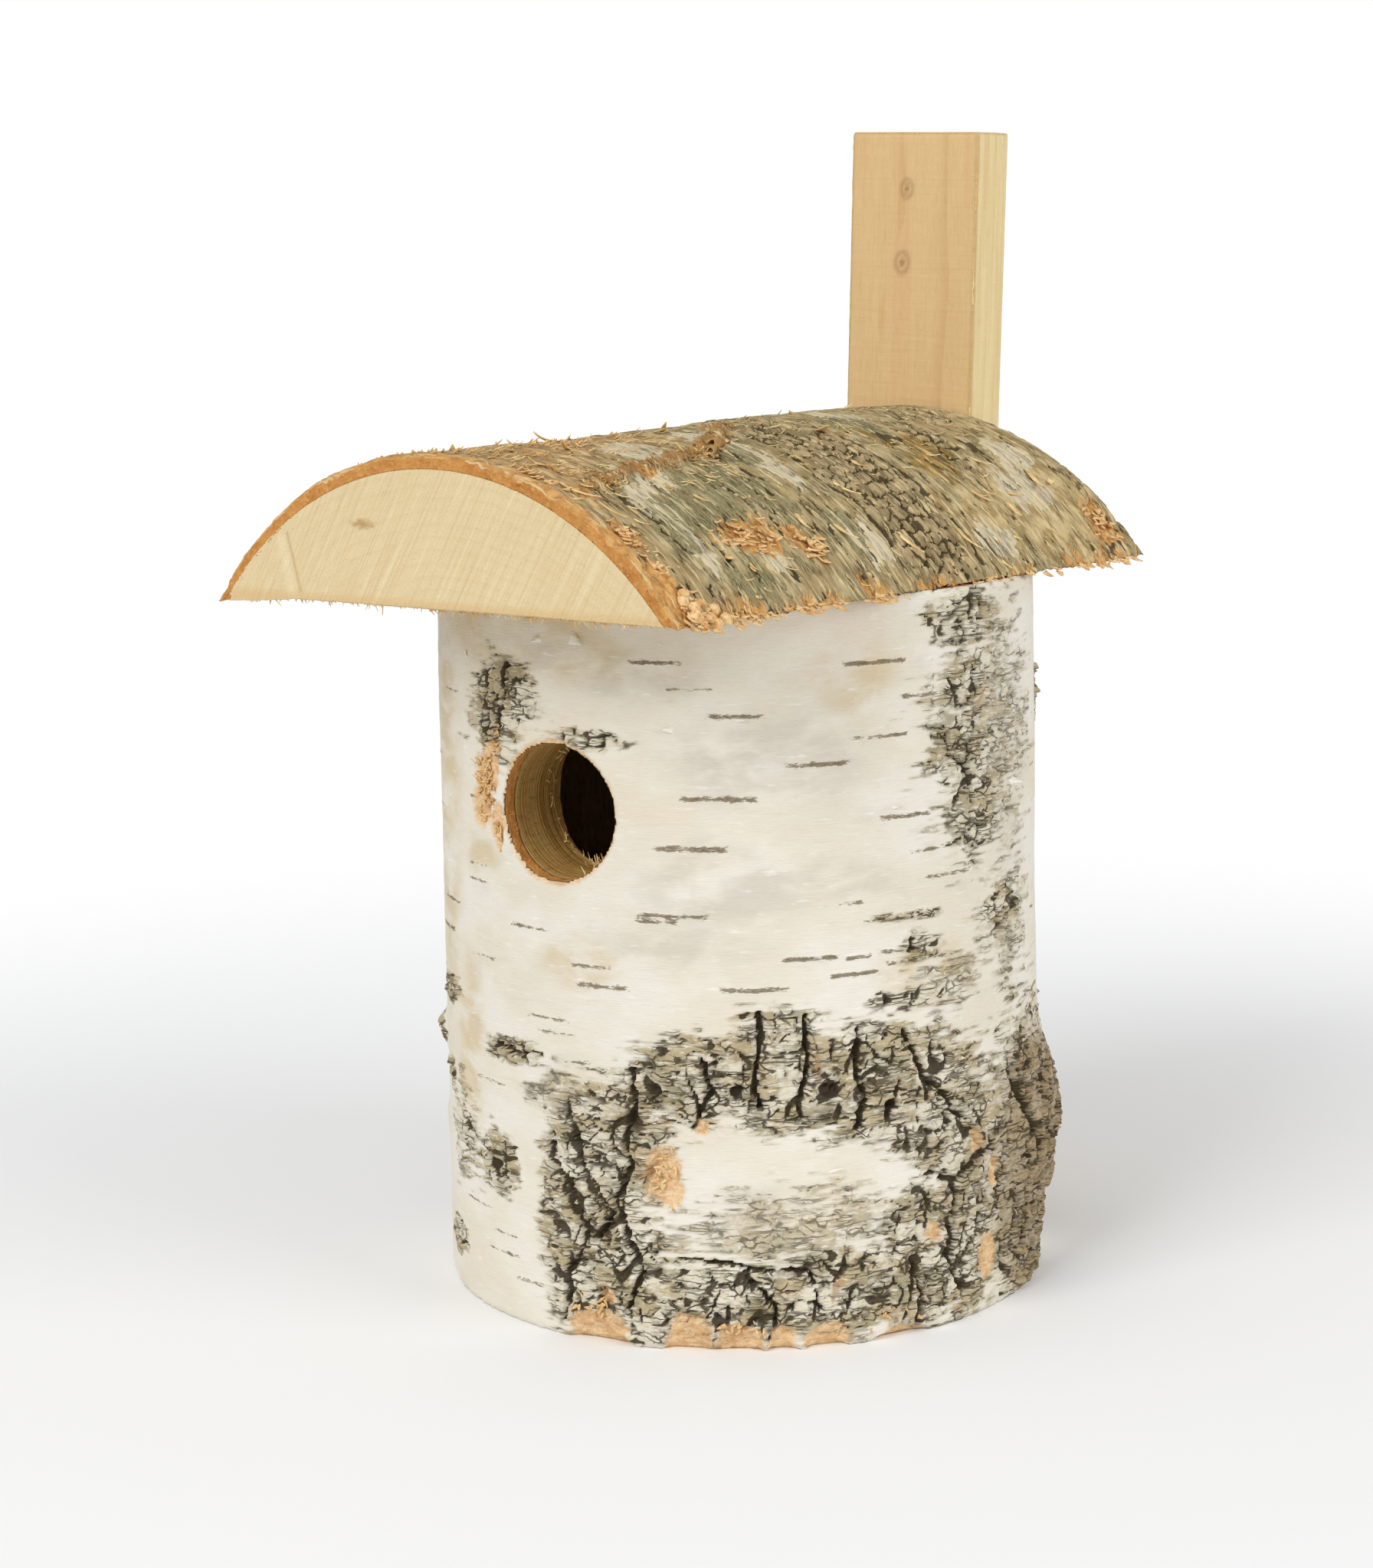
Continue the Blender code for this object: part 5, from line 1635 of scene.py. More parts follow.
def roof_patterns(patch):
    """The roof bark's relief, and the patterns that its material reads."""
    bent = streaked(patch)
    wavy = warped(patch, 117, 6, 1.5)
    ragged = 0.28 * patch.noise(2.4 * MM, 1.8 * MM, 106, 3)
    ragged += 0.42 * patch.noise(22 * MM, 1.3 * MM, 107, 3)

    def mask(places, low=-0.05, high=0.12):
        return smooth(low, high, roof_patches(places, bent) + ragged)

    tan = mask(TANNED, -0.20, 0.25)
    lichen = mask(LICHEN)
    white = mask(WHITISH)
    scaly = mask(SCALY, -0.10, 0.25)
    torn = mask(TORN, -0.02, 0.12)
    mustard = mask(MUSTARD)
    peeled = mask(PEELED)
    scar_line = warped(patch, 127, 9, 2.6).stroke([(u * MM, v * MM) for u, v in SCAR])
    scar_width = np.maximum(1.0 + 1.1 * patch.noise(9 * MM, 9 * MM, 108, 2), 0.1)
    scar = 1 - smooth(0.8 * MM, 3.4 * MM, scar_line / scar_width
                      + 1.6 * MM * patch.noise(1.6 * MM, 1.6 * MM, 109, 2))
    crack, number, dash, wide, fissure = roof_cracks(patch, bent, wavy)
    quiet = (1 - 0.7 * torn) * (1 - 0.5 * tan) * (1 - 0.4 * peeled) * (1 - 0.9 * scar)
    dark = np.maximum.reduce([crack * scaly, 0.9 * dash * quiet, 0.8 * wide * quiet,
                              fissure * quiet])

    height = 0.7 * MM * patch.noise(36 * MM, 30 * MM, 120, 2)
    height += 0.25 * MM * patch.noise(10 * MM, 4 * MM, 121, 3)
    height += 0.30 * MM * patch.noise(24 * MM, 1.7 * MM, 122, 3)
    height += scaly * (0.8 * MM * (number - 0.4) - 1.2 * MM * crack)
    height -= (0.9 * MM * dash + 1.0 * MM * wide) * quiet + 1.2 * MM * fissure
    height -= torn * (0.8 * MM + 0.8 * MM * patch.noise(2.2 * MM, 1.2 * MM, 123, 3))
    height += 0.35 * MM * white - 0.35 * MM * peeled - 0.25 * MM * tan
    height += scar * (1.2 * MM + 1.1 * MM * patch.noise(1.3 * MM, 1.3 * MM, 124, 3))
    patterns = {"dark": dark, "lichen": lichen, "white": white, "torn": torn, "tan": tan,
                "mustard": mustard, "peeled": peeled, "scar": scar, "scaly": scaly}
    return np.clip(height, -2.6 * MM, 2.2 * MM), patterns


def add_roof_bark():
    """The curved bark on the slab, with crumbly cut ends and torn eaves."""
    inner = ROOF_RADIUS - ROOF_BARK + BARK_GAP
    drop = EAVES_Z - ROOF_AXIS_Z
    block = Block(int(330 * DETAIL), int(360 * DETAIL), int(9 * DETAIL) + 1)
    base_r = inner + (ROOF_RADIUS - inner) * block.c
    angle = (block.a * 2 - 1) * np.arccos(np.clip(drop / base_r, -1, 1))
    x = base_r * np.sin(angle)
    y = ROOF_LOW[1] + (roof_back(x) - ROOF_LOW[1]) * block.b
    patch = Patch(angle * ROOF_RADIUS, y - AXIS_Y)
    lift, patterns = roof_patterns(patch)
    crumbs = Patch(angle * ROOF_RADIUS, block.c * 4 * MM + y * 0.5)
    rough = np.abs(crumbs.noise(1.5 * MM, 1.2 * MM, 131, 3))
    at_front = (block.b == 0).astype(float)
    at_back = (block.b == 1).astype(float)
    at_eave = ((block.a == 0) | (block.a == 1)).astype(float)
    edge_b = np.minimum(block.b, 1 - block.b) * (SLAB_HIGH[1] - SLAB_LOW[1])
    crumbly = 0.4 + np.abs(patch.noise(3 * MM, 9 * MM, 132, 2))
    wear = 0.9 * MM * (1 - smooth(0, 1.6 * MM, edge_b)) * crumbly
    radius = base_r + (lift - wear - 0.3 * MM) * smooth(0.15, 1.0, block.c)
    radius = np.maximum(radius, inner + 0.3 * MM * block.c)
    y = y + at_front * 0.8 * MM * rough - at_back * 0.8 * MM * rough
    x = radius * np.sin(angle)
    z = radius * np.cos(angle) + ROOF_AXIS_Z
    eave_rag = 1.2 * MM * np.abs(patch.noise(4 * MM, 2.5 * MM, 133, 3)) + 0.5 * MM * rough
    z = z + at_eave * eave_rag + droop(x, y) + roof_growth(x, y)
    points = np.stack([x, y, z], -1)
    mesh = build_mesh("roof_bark_skin", points, block.quads, block.strips)
    cut = np.maximum.reduce([at_front, at_back, at_eave]) * (block.c < 0.85)
    set_colors(mesh, "marks", patterns["dark"] * (1 - cut), patterns["lichen"], patterns["torn"])
    set_colors(mesh, "tones", patterns["tan"], patterns["white"], patterns["peeled"])
    set_colors(mesh, "more", patterns["mustard"], patterns["scar"], patterns["scaly"])
    set_coords(mesh, "skin", np.stack([patch.u, patch.v, radius - ROOF_RADIUS], -1))
    face_outwards(mesh)
    mesh.materials.append(roof_bark_material())
    mesh.materials.append(bark_section_material())
    ends = cut_faces(mesh, cut)
    mesh.polygons.foreach_set("material_index", ends)
    show("roof_bark_skin", mesh, replaces=["roof_bark"])


def cut_faces(mesh, cut):
    """1 for every face with at least half of its corners on cut bark, and 0 for the rest."""
    starts = np.empty(len(mesh.polygons), np.int32)
    corner = np.empty(len(mesh.loops), np.int32)
    sizes = np.empty(len(mesh.polygons), np.int32)
    mesh.polygons.foreach_get("loop_start", starts)
    mesh.polygons.foreach_get("loop_total", sizes)
    mesh.loops.foreach_get("vertex_index", corner)
    total = np.add.reduceat(cut[corner], starts)
    return (total >= sizes * 0.5).astype(np.int32)


def roof_bark_material():
    """The roof's bark: tanned, peeled, lichened, scaly or torn as its attributes say."""
    g = Graph("roof_bark", 0.9)
    skin = g.coords("skin")
    dark, lichen, torn = g.channels("marks")
    tan, white, peeled = g.channels("tones")
    mustard, scar, scaly = g.channels("more")
    streak = g.noise(skin, (0.018, 0.0011, 1.0), 4.0, 0.65)
    mottle = g.noise(skin, (0.007, 0.004, 1.0), 4.0, 0.6, 0.3)
    fine = g.noise(skin, (0.006, 0.00035, 1.0), 3.0, 0.65)
    grit = g.noise(skin, (0.0012, 0.0006, 1.0), 3.0, 0.7)
    large = g.noise(skin, (0.022, 0.016, 1.0), 3.0)
    threads = g.noise(skin, (0.009, 0.0007, 1.0), 3.0, 0.7)
    jitter = g.math('MULTIPLY', g.math('SUBTRACT', threads, 0.5), 1.5)

    def frayed(share):
        """A patch whose soft edge is broken into crisp streaks."""
        loose = g.math('MULTIPLY', jitter, g.step(share, 0.0, 0.15))
        return g.step(g.math('ADD', share, loose), 0.38, 0.60)

    color = g.mix(g.step(mottle, 0.38, 0.64), srgb(190, 172, 130), srgb(146, 127, 86))
    color = g.tint(color, g.step(large, 0.45, 0.65), 0.5, srgb(172, 144, 96))
    color = g.tint(color, g.step(streak, 0.52, 0.64), 0.65, srgb(118, 102, 68))
    ochre = g.mix(g.step(mottle, 0.40, 0.62), srgb(198, 164, 114), srgb(168, 130, 82))
    ochre = g.tint(ochre, g.step(streak, 0.52, 0.70), 0.5, srgb(146, 106, 62))
    color = g.tint(color, tan, 0.85, ochre)
    cream = g.mix(g.step(mottle, 0.42, 0.62), srgb(212, 188, 138), srgb(178, 150, 100))
    color = g.tint(color, frayed(peeled), 0.75, cream)
    chalk = g.mix(g.step(streak, 0.42, 0.66), srgb(220, 208, 178), srgb(194, 178, 142))
    color = g.tint(color, frayed(white), 0.9, chalk)
    olive = g.mix(g.step(grit, 0.38, 0.66), srgb(156, 148, 108), srgb(114, 106, 70))
    gaps = g.step(g.noise(skin, (0.015, 0.0020, 1.0), 2.0), 0.62, 0.55)
    color = g.tint(color, g.math('MULTIPLY', frayed(lichen), gaps), 0.9, olive)
    scale = g.mix(g.step(mottle, 0.40, 0.60), srgb(190, 166, 122), srgb(140, 122, 88))
    color = g.tint(color, scaly, 0.80, scale)
    gold = g.mix(g.step(mottle, 0.42, 0.62), srgb(170, 132, 58), srgb(112, 90, 42))
    color = g.tint(color, frayed(mustard), 0.75, gold)

    raw = bare_bark(g, skin, srgb(222, 172, 104), srgb(188, 130, 66), srgb(134, 82, 36))
    front = ROOF_LOW[1] - AXIS_Y
    from_axis = g.math('ADD', g.axis(skin, "Y"), g.math('MULTIPLY', jitter, 0.006))
    rim = g.step(from_axis, front + 0.0042, front + 0.0028)
    color = g.mix(g.math('MAXIMUM', frayed(torn), g.math('MULTIPLY', rim, 0.9)), color, raw)
    fur = g.mix(g.step(fine, 0.42, 0.62), srgb(186, 140, 82), srgb(132, 94, 50))
    color = g.tint(color, scar, 0.95, fur)

    scratches = g.noise(skin, (0.011, 0.00075, 1.0), 2.0, 0.5)
    hair = g.step(g.math('ABSOLUTE', g.math('SUBTRACT', scratches, 0.5)), 0.032, 0.008)
    patchy = g.step(g.noise(skin, (0.009, 0.006, 1.0), 2.0), 0.46, 0.62)
    hair = g.math('MULTIPLY', g.math('MULTIPLY', hair, patchy), 0.8)
    bright = g.noise(skin, (0.011, 0.0010, 1.0), 2.0, 0.6)
    color = g.tint(color, g.step(bright, 0.56, 0.61), 0.7, srgb(226, 204, 154))
    edge = g.math('ADD', dark, g.math('MULTIPLY', g.math('SUBTRACT', grit, 0.5), 0.7))
    soot = g.math('MAXIMUM', g.step(edge, 0.36, 0.62), hair)
    soot = g.math('MULTIPLY', soot, g.math('SUBTRACT', 1.0, rim))
    color = g.tint(color, soot, 0.85, srgb(58, 46, 27))
    height = g.math('ADD', g.math('MULTIPLY', streak, 0.8), g.math('MULTIPLY', grit, 0.6))
    height = g.math('SUBTRACT', height, g.math('MULTIPLY', soot, 0.7))
    return g.finish(color, None, height, 0.0006)


# ---------------------------------------------------------------- splinters, curls and torn bits
def roof_place(u_mm, v_mm, above=0.0):
    """A point over the roof's bark, with the directions down the slope, along and out."""
    angle = u_mm * MM / ROOF_RADIUS
    out = np.array([math.sin(angle), 0.0, math.cos(angle)])
    down = np.array([math.cos(angle), 0.0, -math.sin(angle)])
    along = np.array([0.0, 1.0, 0.0])
    point = out * (ROOF_RADIUS + above) + np.array([0.0, v_mm * MM + AXIS_Y, ROOF_AXIS_Z])
    point[2] += roof_growth(point[0], point[1])
    return point, down, along, out


def log_place(degrees, height_mm, above=0.0):
    """A point over the log's bark, with the directions around it, up and out."""
    turn = math.radians(degrees)
    out = np.array([math.sin(turn), -math.cos(turn), 0.0])
    across = np.array([math.cos(turn), math.sin(turn), 0.0])
    radius = LOG_RADIUS - LOG_TAPER * height_mm * MM / LOG_HEIGHT + above
    point = out * radius + np.array([0.0, AXIS_Y, height_mm * MM])
    return point, across, np.array([0.0, 0.0, 1.0]), out


def curl(point, direction, side, out, length, lift, sway, steps):
    """A path that leaves a surface: straight at first, then up and aside."""
    t = np.linspace(0, 1, steps)[:, None]
    return point + direction * length * t + out * lift * t ** 2 + side * sway * t ** 2


def taper(width, steps):
    """Widths along a strip that grows narrow towards its tip."""
    return width * (1 - np.linspace(0, 1, steps) ** 2 * 0.85)


ROOF_FIBRES = 360              # short ones among the slivers
SLAB_FIBRES = 420
SLAB_EDGE = (-64, 68)          # where they hang, in mm across the front,
SLAB_EDGE_THICK = (-5, 68)     # and where most of them do
ENTRANCE_FIBRES = 420
BATTEN_SPLINTERS = 70
SPLINTERED = (-140 * MM, 145 * MM)     # the stretch of the batten that has them
CRUMBS_PER_MM = 14 / 4         # along the scar
SLIVER_ROOT = 0.6 * MM         # how deep a long sliver starts in the bark
EAVE_ARC = 87                  # mm along the roof's arc from the ridge to the eave

# Long slivers on the roof: arc and length places in mm, turn from the slope in degrees,
# length, width, lift and sway in mm.
SLIVERS = [
    (27, -44, 70, 9, 1.8, 3.2, 2), (30, -50, 120, 6, 1.2, 2.4, -2), (20, 12, 60, 14, 3.0, 3.2, 3),
    (26, 20, 100, 9, 1.8, 2.6, 1), (54, 62, 30, 12, 2.2, 2.0, -2), (58, 68, 75, 8, 1.8, 1.6, 2),
    (44, 46, 20, 9, 1.4, 1.6, 1), (12, -76, 80, 8, 1.8, 2.4, 2), (22, -98, 60, 6, 0.9, 1.8, -2),
    (34, -104, 20, 13, 0.9, 1.5, 3), (44, -102, 10, 12, 0.8, 1.8, -1), (40, 0, 35, 8, 1.6, 1.6, 1),
    (62, -34, 15, 9, 1.7, 1.8, 1), (58, -44, 25, 9, 1.3, 1.6, -1), (56, 30, 15, 10, 1.5, 1.6, 1),
    (64, 40, 25, 8, 2.0, 1.4, -1), (-8, -60, 100, 7, 1.4, 2.0, 1), (2, -30, 60, 8, 2.0, 2.2, 2),
    (70, 10, 10, 9, 1.4, 1.4, 1), (-30, -70, 70, 9, 1.9, 2.2, 2), (-46, 20, 30, 9, 1.8, 2.0, 1),
    (48, -18, 10, 9, 1.5, 1.4, 1), (66, -14, 12, 12, 1.8, 1.6, 1), (44, -70, 10, 9, 1.3, 1.4, -1),
]


def roof_turned(u_mm, v_mm, turn, above):
    """A place on the roof's bark with a direction turned from the slope, and its side."""
    point, down, along, out = roof_place(u_mm, v_mm, above)
    direction = down * math.cos(turn) - along * math.sin(turn)
    side = down * math.sin(turn) + along * math.cos(turn)
    return point, direction, side, out


def add_sliver(pile, place, length, lift, sway, width, thickness, steps=6):
    """A tapered strip; its place is a point with the ways forward, aside and out."""
    point, direction, side, out = place
    path = curl(point, direction, side, out, length, lift, sway, steps)
    pile.ribbon(path, side, taper(width, steps), thickness)


def add_roof_splinters():
    """Pale slivers, short fibres around the torn places, and a few on the ridge."""
    pile = Pile()
    for u, v, turn, length, width, lift, sway in SLIVERS:
        place = roof_turned(u, v, math.radians(turn), -SLIVER_ROOT)
        add_sliver(pile, place, length * MM, lift * MM + SLIVER_ROOT, sway * MM, width * MM,
                   0.25 * MM, 9)
    rng = np.random.default_rng(5)
    for _ in range(ROOF_FIBRES):
        u = rng.choice([rng.uniform(-60, 84), rng.uniform(-4, 42)])
        v = rng.choice([rng.uniform(-106, 60), rng.uniform(-106, -46)])
        place = roof_turned(u, v, rng.normal(0.1, 0.5), -0.5 * MM)
        add_sliver(pile, place, rng.uniform(1.2, 4.5) * MM, rng.uniform(0.7, 1.5) * MM,
                   rng.normal(0, 0.5) * MM, rng.uniform(0.3, 1.1) * MM, 0.16 * MM)
    pile.keep_inside()
    show("roof_splinters", pile.mesh("roof_splinters", splinter_material()))


def add_slab_fibres():
    """Torn fibres along the lower edge of the roof's front end."""
    pile = Pile()
    rng = np.random.default_rng(8)
    side = np.array([1.0, 0.0, 0.0])
    inwards = np.array([0.0, 1.0, 0.0])
    for _ in range(SLAB_FIBRES):
        x = rng.uniform(*(SLAB_EDGE if rng.random() < 0.4 else SLAB_EDGE_THICK)) * MM
        y = ROOF_LOW[1] + 0.5 * MM + abs(rng.normal(0, 0.8)) * MM
        start = np.array([x, y, EAVES_Z + 0.7 * MM + droop(x, y)])
        direction = np.array([rng.normal(0, 0.7), rng.uniform(-0.1, 0.2), -1.0])
        direction /= np.linalg.norm(direction)
        length = min(0.8 + rng.exponential(0.5), 3.2) * MM
        add_sliver(pile, (start, direction, side, inwards), length, rng.uniform(0, 0.3) * MM,
                   rng.normal(0, 0.5) * MM, rng.uniform(0.2, 0.6) * MM, 0.15 * MM)
    pile.keep_inside()
    show("slab_fibres", pile.mesh("slab_fibres", splinter_material()))


@once
def torn_material():
    """Knobbly torn bark, salmon and cream with brown hollows."""
    g = Graph("torn_bark", 0.85)
    place = g.coords("object")
    color = bare_bark(g, place, srgb(240, 208, 154), srgb(216, 164, 100), srgb(152, 98, 50))
    bumps = g.noise(place, (0.0014, 0.0014, 0.0014), 3.0, 0.6)
    return g.finish(color, None, bumps, 0.0006)


def lump_shape():
    """The points and faces of a ball, to be squeezed and bent into lumps."""
    bm = bmesh.new()
    bmesh.ops.create_icosphere(bm, subdivisions=3, radius=1.0)
    points = np.array([v.co[:] for v in bm.verts])
    faces = [[v.index for v in face.verts] for face in bm.faces]
    bm.free()
    return points, faces


def add_lump(pile, shape, centre, size, seed):
    """A ball squeezed and bent into a knobbly lump."""
    points, faces = shape
    rng = np.random.default_rng(seed)
    bumps = gradient_noise(points[:, 0] * 1.6 + points[:, 2] * 1.1, points[:, 1] * 1.6 + 7, seed)
    small = gradient_noise(points[:, 0] * 4 + 3, points[:, 1] * 4 + points[:, 2] * 3, seed + 1)
    stretch = rng.uniform(0.6, 1.3, 3)
    moved = points * (1 + 0.35 * bumps + 0.14 * small)[:, None] * stretch * size
    pile.add(moved + centre, faces)


# Torn bark on the roof: arc and length places and the spread each way in mm, how many chips.
TORN_HEAPS = [(83, -103, 5.0, 5.0, 50), (85.5, -88, 1.5, 9.0, 40), (85.5, -66, 1.2, 9.0, 34),
              (64, -68, 6.0, 9.0, 60), (67, -50, 5.0, 4.0, 24), (86, -36, 1.0, 9.0, 16),
              (86, 10, 0.8, 20.0, 24), (86, 60, 1.0, 16.0, 24), (74, 72, 6.0, 4.0, 20),
              (36, -90, 3.0, 5.0, 24), (60, -106, 8.0, 2.0, 40), (30, -107, 12.0, 1.2, 22),
              (-20, -107, 24.0, 0.8, 22), (27, -46, 3.0, 3.0, 20), (5, -72, 8.0, 8.0, 24),
              (-85, -60, 2.0, 20.0, 60), (-86, 30, 2.0, 24.0, 44), (22, -62, 6.0, 10.0, 24)]
# The knobbly lump on the roof's front corner: arc and length places, and size in mm.
CORNER_LUMPS = [(84, -105, 2.1), (81, -104, 1.8), (84, -101, 1.7), (79, -106, 1.5),
                (86, -104, 1.4), (82, -98, 1.4), (77, -104, 1.2), (85, -96, 1.3),
                (80, -101, 1.5), (86, -100, 1.5)]


def add_torn_bark():
    """Small lifted chips over the torn places, and lumps on the front corner."""
    rng = np.random.default_rng(12)
    chips = Pile()
    for u, v, across, along, count in TORN_HEAPS:
        for _ in range(count):
            arc = min(max(u + rng.normal(0, 0.6) * across, -EAVE_ARC), EAVE_ARC)
            place = roof_turned(arc, v + rng.normal(0, 0.6) * along, rng.normal(0.2, 0.8),
                                -0.7 * MM)
            add_sliver(chips, place, rng.uniform(0.8, 2.4) * MM, rng.uniform(0.6, 1.3) * MM,
                       rng.normal(0, 0.4) * MM, rng.uniform(0.6, 2.4) * MM, 0.30 * MM)
    chips.keep_inside()
    show("torn_bark_chips", chips.mesh("torn_bark_chips", torn_material()))
    lumps = Pile()
    shape = lump_shape()
    front = ROOF_LOW[1] + 0.2 * MM
    for u, v, size in CORNER_LUMPS:
        point = roof_place(u, v, -size * 0.6 * MM)[0]
        point[1] = max(point[1], front + size * 1.5 * MM)
        add_lump(lumps, shape, point, size * MM, int(rng.integers(1000)))
    lumps.keep_inside()
    show("corner_lump", lumps.mesh("corner_lump", torn_material()))


@once
def scar_material():
    """Brown crumbly bark around the scar on the roof."""
    g = Graph("scar_bark", 0.9)
    place = g.coords("object")
    color = bare_bark(g, place, srgb(198, 156, 98), srgb(158, 114, 64), srgb(96, 66, 34))
    return g.finish(color, None, g.noise(place, (0.0012, 0.0012, 0.0012), 3.0, 0.6), 0.0006)


def add_scar_bark():
    """Small curls and crumbs of brown bark along the scar on the roof."""
    pile = Pile()
    rng = np.random.default_rng(15)
    for u, v, reach, turn in ((25, -38, 7.0, 75), (28, -43, 5.0, 60), (33, -80, 4.0, 100)):
        point, direction, side, out = roof_turned(u, v, math.radians(turn), -0.2 * MM)
        t = np.linspace(0, 1, 14)[:, None]
        bend = t * math.radians(rng.uniform(230, 290))
        radius = reach * MM / 6
        ring = point + side * np.sin(bend) * radius + out * (1 - np.cos(bend)) * radius
        width = reach * MM * (0.8 + 0.25 * np.sin(t[:, 0] * 7))
        pile.ribbon(ring, direction, width, 0.4 * MM)
    for (u0, v0), (u1, v1) in zip(SCAR[:-1], SCAR[1:]):
        for _ in range(int(CRUMBS_PER_MM * math.hypot(u1 - u0, v1 - v0))):
            share = rng.random()
            u = u0 + (u1 - u0) * share + rng.normal(0, 1.8)
            v = v0 + (v1 - v0) * share + rng.normal(0, 1.8)
            place = roof_turned(u, v, rng.uniform(0, math.tau), 0.2 * MM)
            add_sliver(pile, place, rng.uniform(0.5, 1.6) * MM, rng.uniform(0.2, 0.9) * MM,
                       0.0, rng.uniform(0.4, 1.3) * MM, 0.25 * MM, 5)
    pile.keep_inside()
    show("scar_crumbs", pile.mesh("scar_crumbs", scar_material()))


def add_entrance_fibres():
    """Fibres left standing in the bore, thickest low on its right, and a few on its rim."""
    pile = Pile()
    rng = np.random.default_rng(18)
    forward = np.array([math.sin(ENTRANCE_ANGLE), -math.cos(ENTRANCE_ANGLE), 0.0])
    side = np.array([math.cos(ENTRANCE_ANGLE), math.sin(ENTRANCE_ANGLE), 0.0])
    up = np.array([0.0, 0.0, 1.0])
    axis = np.array([0.0, AXIS_Y, ENTRANCE_Z])
    for _ in range(ENTRANCE_FIBRES):
        low_right = rng.random() < 0.85
        a = math.radians(rng.normal(-48, 24) if low_right else rng.uniform(0, 360))
        reach = NEST_RADIUS + abs(rng.normal(1.0, 3.5 if low_right else 1.5)) * MM
        outward = side * math.cos(a) + up * math.sin(a)
        start = axis + forward * min(reach, LOG_RADIUS - 5 * MM)
        start = start + outward * (ENTRANCE_RADIUS + 0.1 * MM)
        direction = -outward * rng.uniform(0.4, 1.0) + forward * rng.normal(0.3, 0.6)
        direction = direction + up * rng.uniform(0, 0.5)
        direction /= np.linalg.norm(direction)
        length = rng.uniform(1.0, 4.5 if low_right else 1.4) * MM
        across = np.cross(direction, forward)
        across /= max(np.linalg.norm(across), 1e-6)
        add_sliver(pile, (start, direction, across, up), length, rng.uniform(-0.5, 0.8) * MM,
                   rng.normal(0, 0.7) * MM, rng.uniform(0.25, 0.60) * MM, 0.14 * MM)
    show("entrance_fibres", pile.mesh("entrance_fibres", splinter_material()))


# Flakes of bark that lift off the log: degrees, height, turn, length and width in mm, lift.
FLAKES = [(6, 176.5, -20, 6.5, 4.0, 1.4), (2, 175.5, 200, 4.0, 2.5, 1.0),
          (36, 156.2, 5, 5.5, 1.6, 1.0), (29, 153.6, 170, 5.0, 2.0, 1.3),
          (24, 177, -60, 3.5, 2.0, 0.8), (66, 133, 10, 4, 1.5, 0.7),
          (100, 134, -10, 6, 3.0, 1.0), (-120, 120, 15, 6, 2.5, 1.2), (160, 90, -20, 6, 3, 1.4),
          (52, 44, 15, 6, 1.6, 0.8), (-22, 165, 80, 5, 1.6, 0.8)]
# Torn inner bark on the log: degrees, height, spread around and up in mm, how many tags.
TORN_TAGS = [(-15.5, 137, 4, 9, 80), (-11, 150, 2, 4, 16), (-12, 126, 1.5, 4, 12),
             (24, 46, 3, 8, 22), (11, 10, 7, 4, 22), (38, 6, 8, 3, 16), (66, 6, 8, 3, 12)]


@once
def flake_material():
    """Papery outer bark, nearly white."""
    g = Graph("bark_flakes", 0.7)
    place = g.coords("object")
    lines = g.noise(place, (0.004, 0.004, 0.0005), 3.0)
    return g.finish(g.mix(g.step(lines, 0.4, 0.65), srgb(242, 238, 228), srgb(222, 210, 188)))


def add_flake(pile, degrees, height, turn, length, width, lift):
    """A flake that lifts off the log, with its root in the bark."""
    point, across, up, out = log_place(degrees, height, -0.4 * MM)
    direction = across * math.cos(turn) + up * math.sin(turn)
    side = up * math.cos(turn) - across * math.sin(turn)
    add_sliver(pile, (point, direction, side, out), length * MM, (lift + 0.4) * MM, 0.0,
               width * MM, 0.25 * MM, 7)


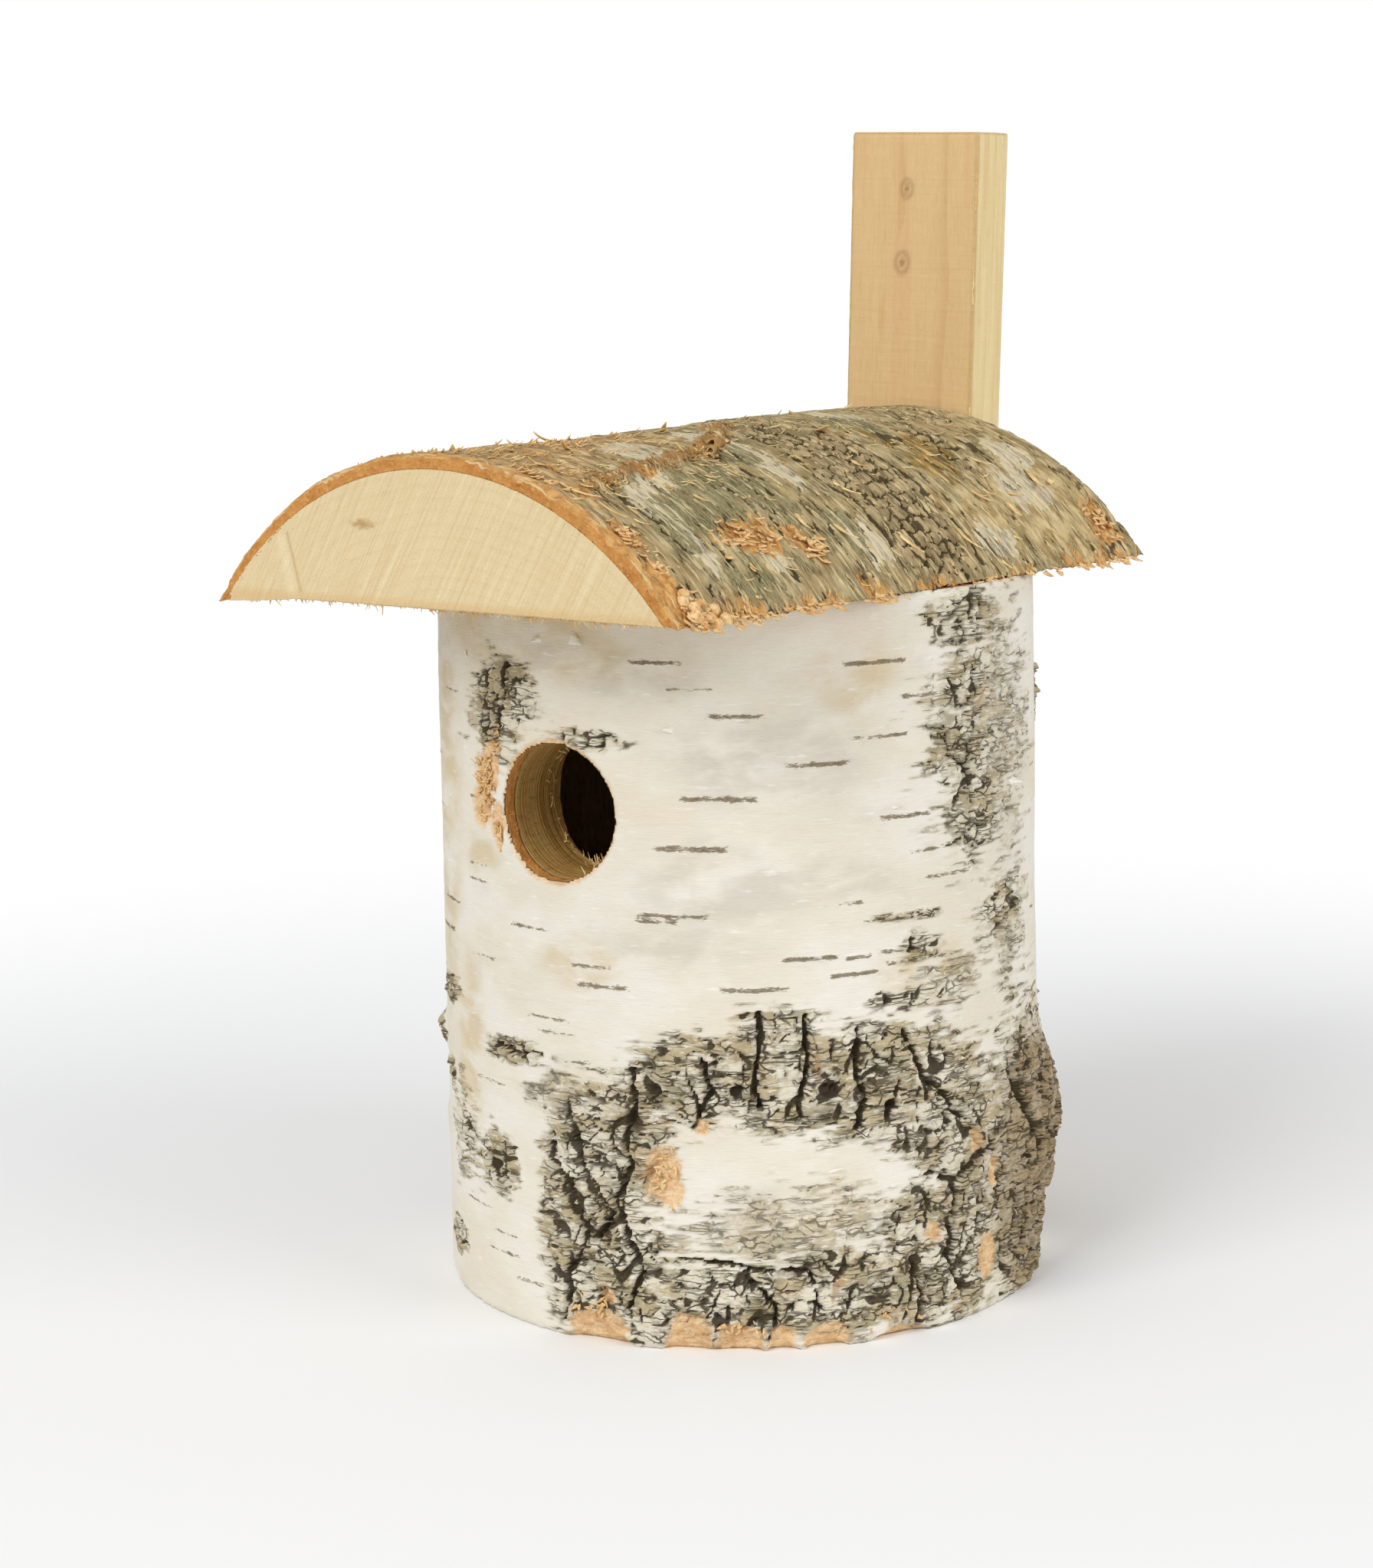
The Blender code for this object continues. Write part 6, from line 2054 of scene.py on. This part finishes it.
def add_log_flakes():
    """White flakes, and torn tags over the bare inner bark."""
    pile = Pile()
    for degrees, height, turn, length, width, lift in FLAKES:
        add_flake(pile, degrees, height, math.radians(turn), length, width, lift)
    pile.keep_inside()
    show("bark_flakes", pile.mesh("bark_flakes", flake_material()))
    tags = Pile()
    rng = np.random.default_rng(21)
    for degrees, height, around, high, count in TORN_TAGS:
        for _ in range(count):
            place = degrees + math.degrees(rng.normal(0, 0.5) * around * MM / LOG_RADIUS)
            add_flake(tags, place, max(height + rng.normal(0, 0.5) * high, 1.5),
                      rng.uniform(0, math.tau), rng.uniform(0.8, 2.4), rng.uniform(0.4, 1.3),
                      rng.uniform(0.1, 0.8))
    tags.keep_inside()
    show("bark_tags", tags.mesh("bark_tags", torn_material()))


def add_batten_splinters():
    """Small splinters along the batten's arrises."""
    pile = Pile()
    rng = np.random.default_rng(23)
    half_depth = (BATTEN_HIGH[1] - BATTEN_LOW[1]) / 2
    matrix = np.array(batten_matrix())
    side = np.array([1.0, 0.0, 0.0])
    for _ in range(BATTEN_SPLINTERS):
        z = rng.uniform(*SPLINTERED)
        sign = rng.choice([-1.0, 1.0])
        x = sign * (BATTEN_WIDTH / 2 - 0.35 * MM)
        start = np.array([x, -half_depth + 0.35 * MM, z])
        direction = np.array([0.0, 0.0, rng.choice([-1.0, 1.0])])
        out = np.array([-0.3 * sign, -0.25, 0.0])
        path = curl(start, direction, side, out, rng.uniform(2, 7) * MM,
                    rng.uniform(0.1, 0.5) * MM, 0.0, 6)
        path = path @ matrix[:3, :3].T + matrix[:3, 3]
        pile.ribbon(path, side, taper(rng.uniform(0.2, 0.5) * MM, 6), 0.15 * MM)
    pile.keep_inside()
    show("batten_splinters", pile.mesh("batten_splinters", splinter_material()))


# ---------------------------------------------------------------- assembly
add_camera()
add_studio()
add_log_bark()
add_log_wall()
add_floor_board()
add_batten()
add_roof_slab()
add_roof_bark()
add_screws()
add_roof_splinters()
add_slab_fibres()
add_torn_bark()
add_scar_bark()
add_entrance_fibres()
add_log_flakes()
add_batten_splinters()
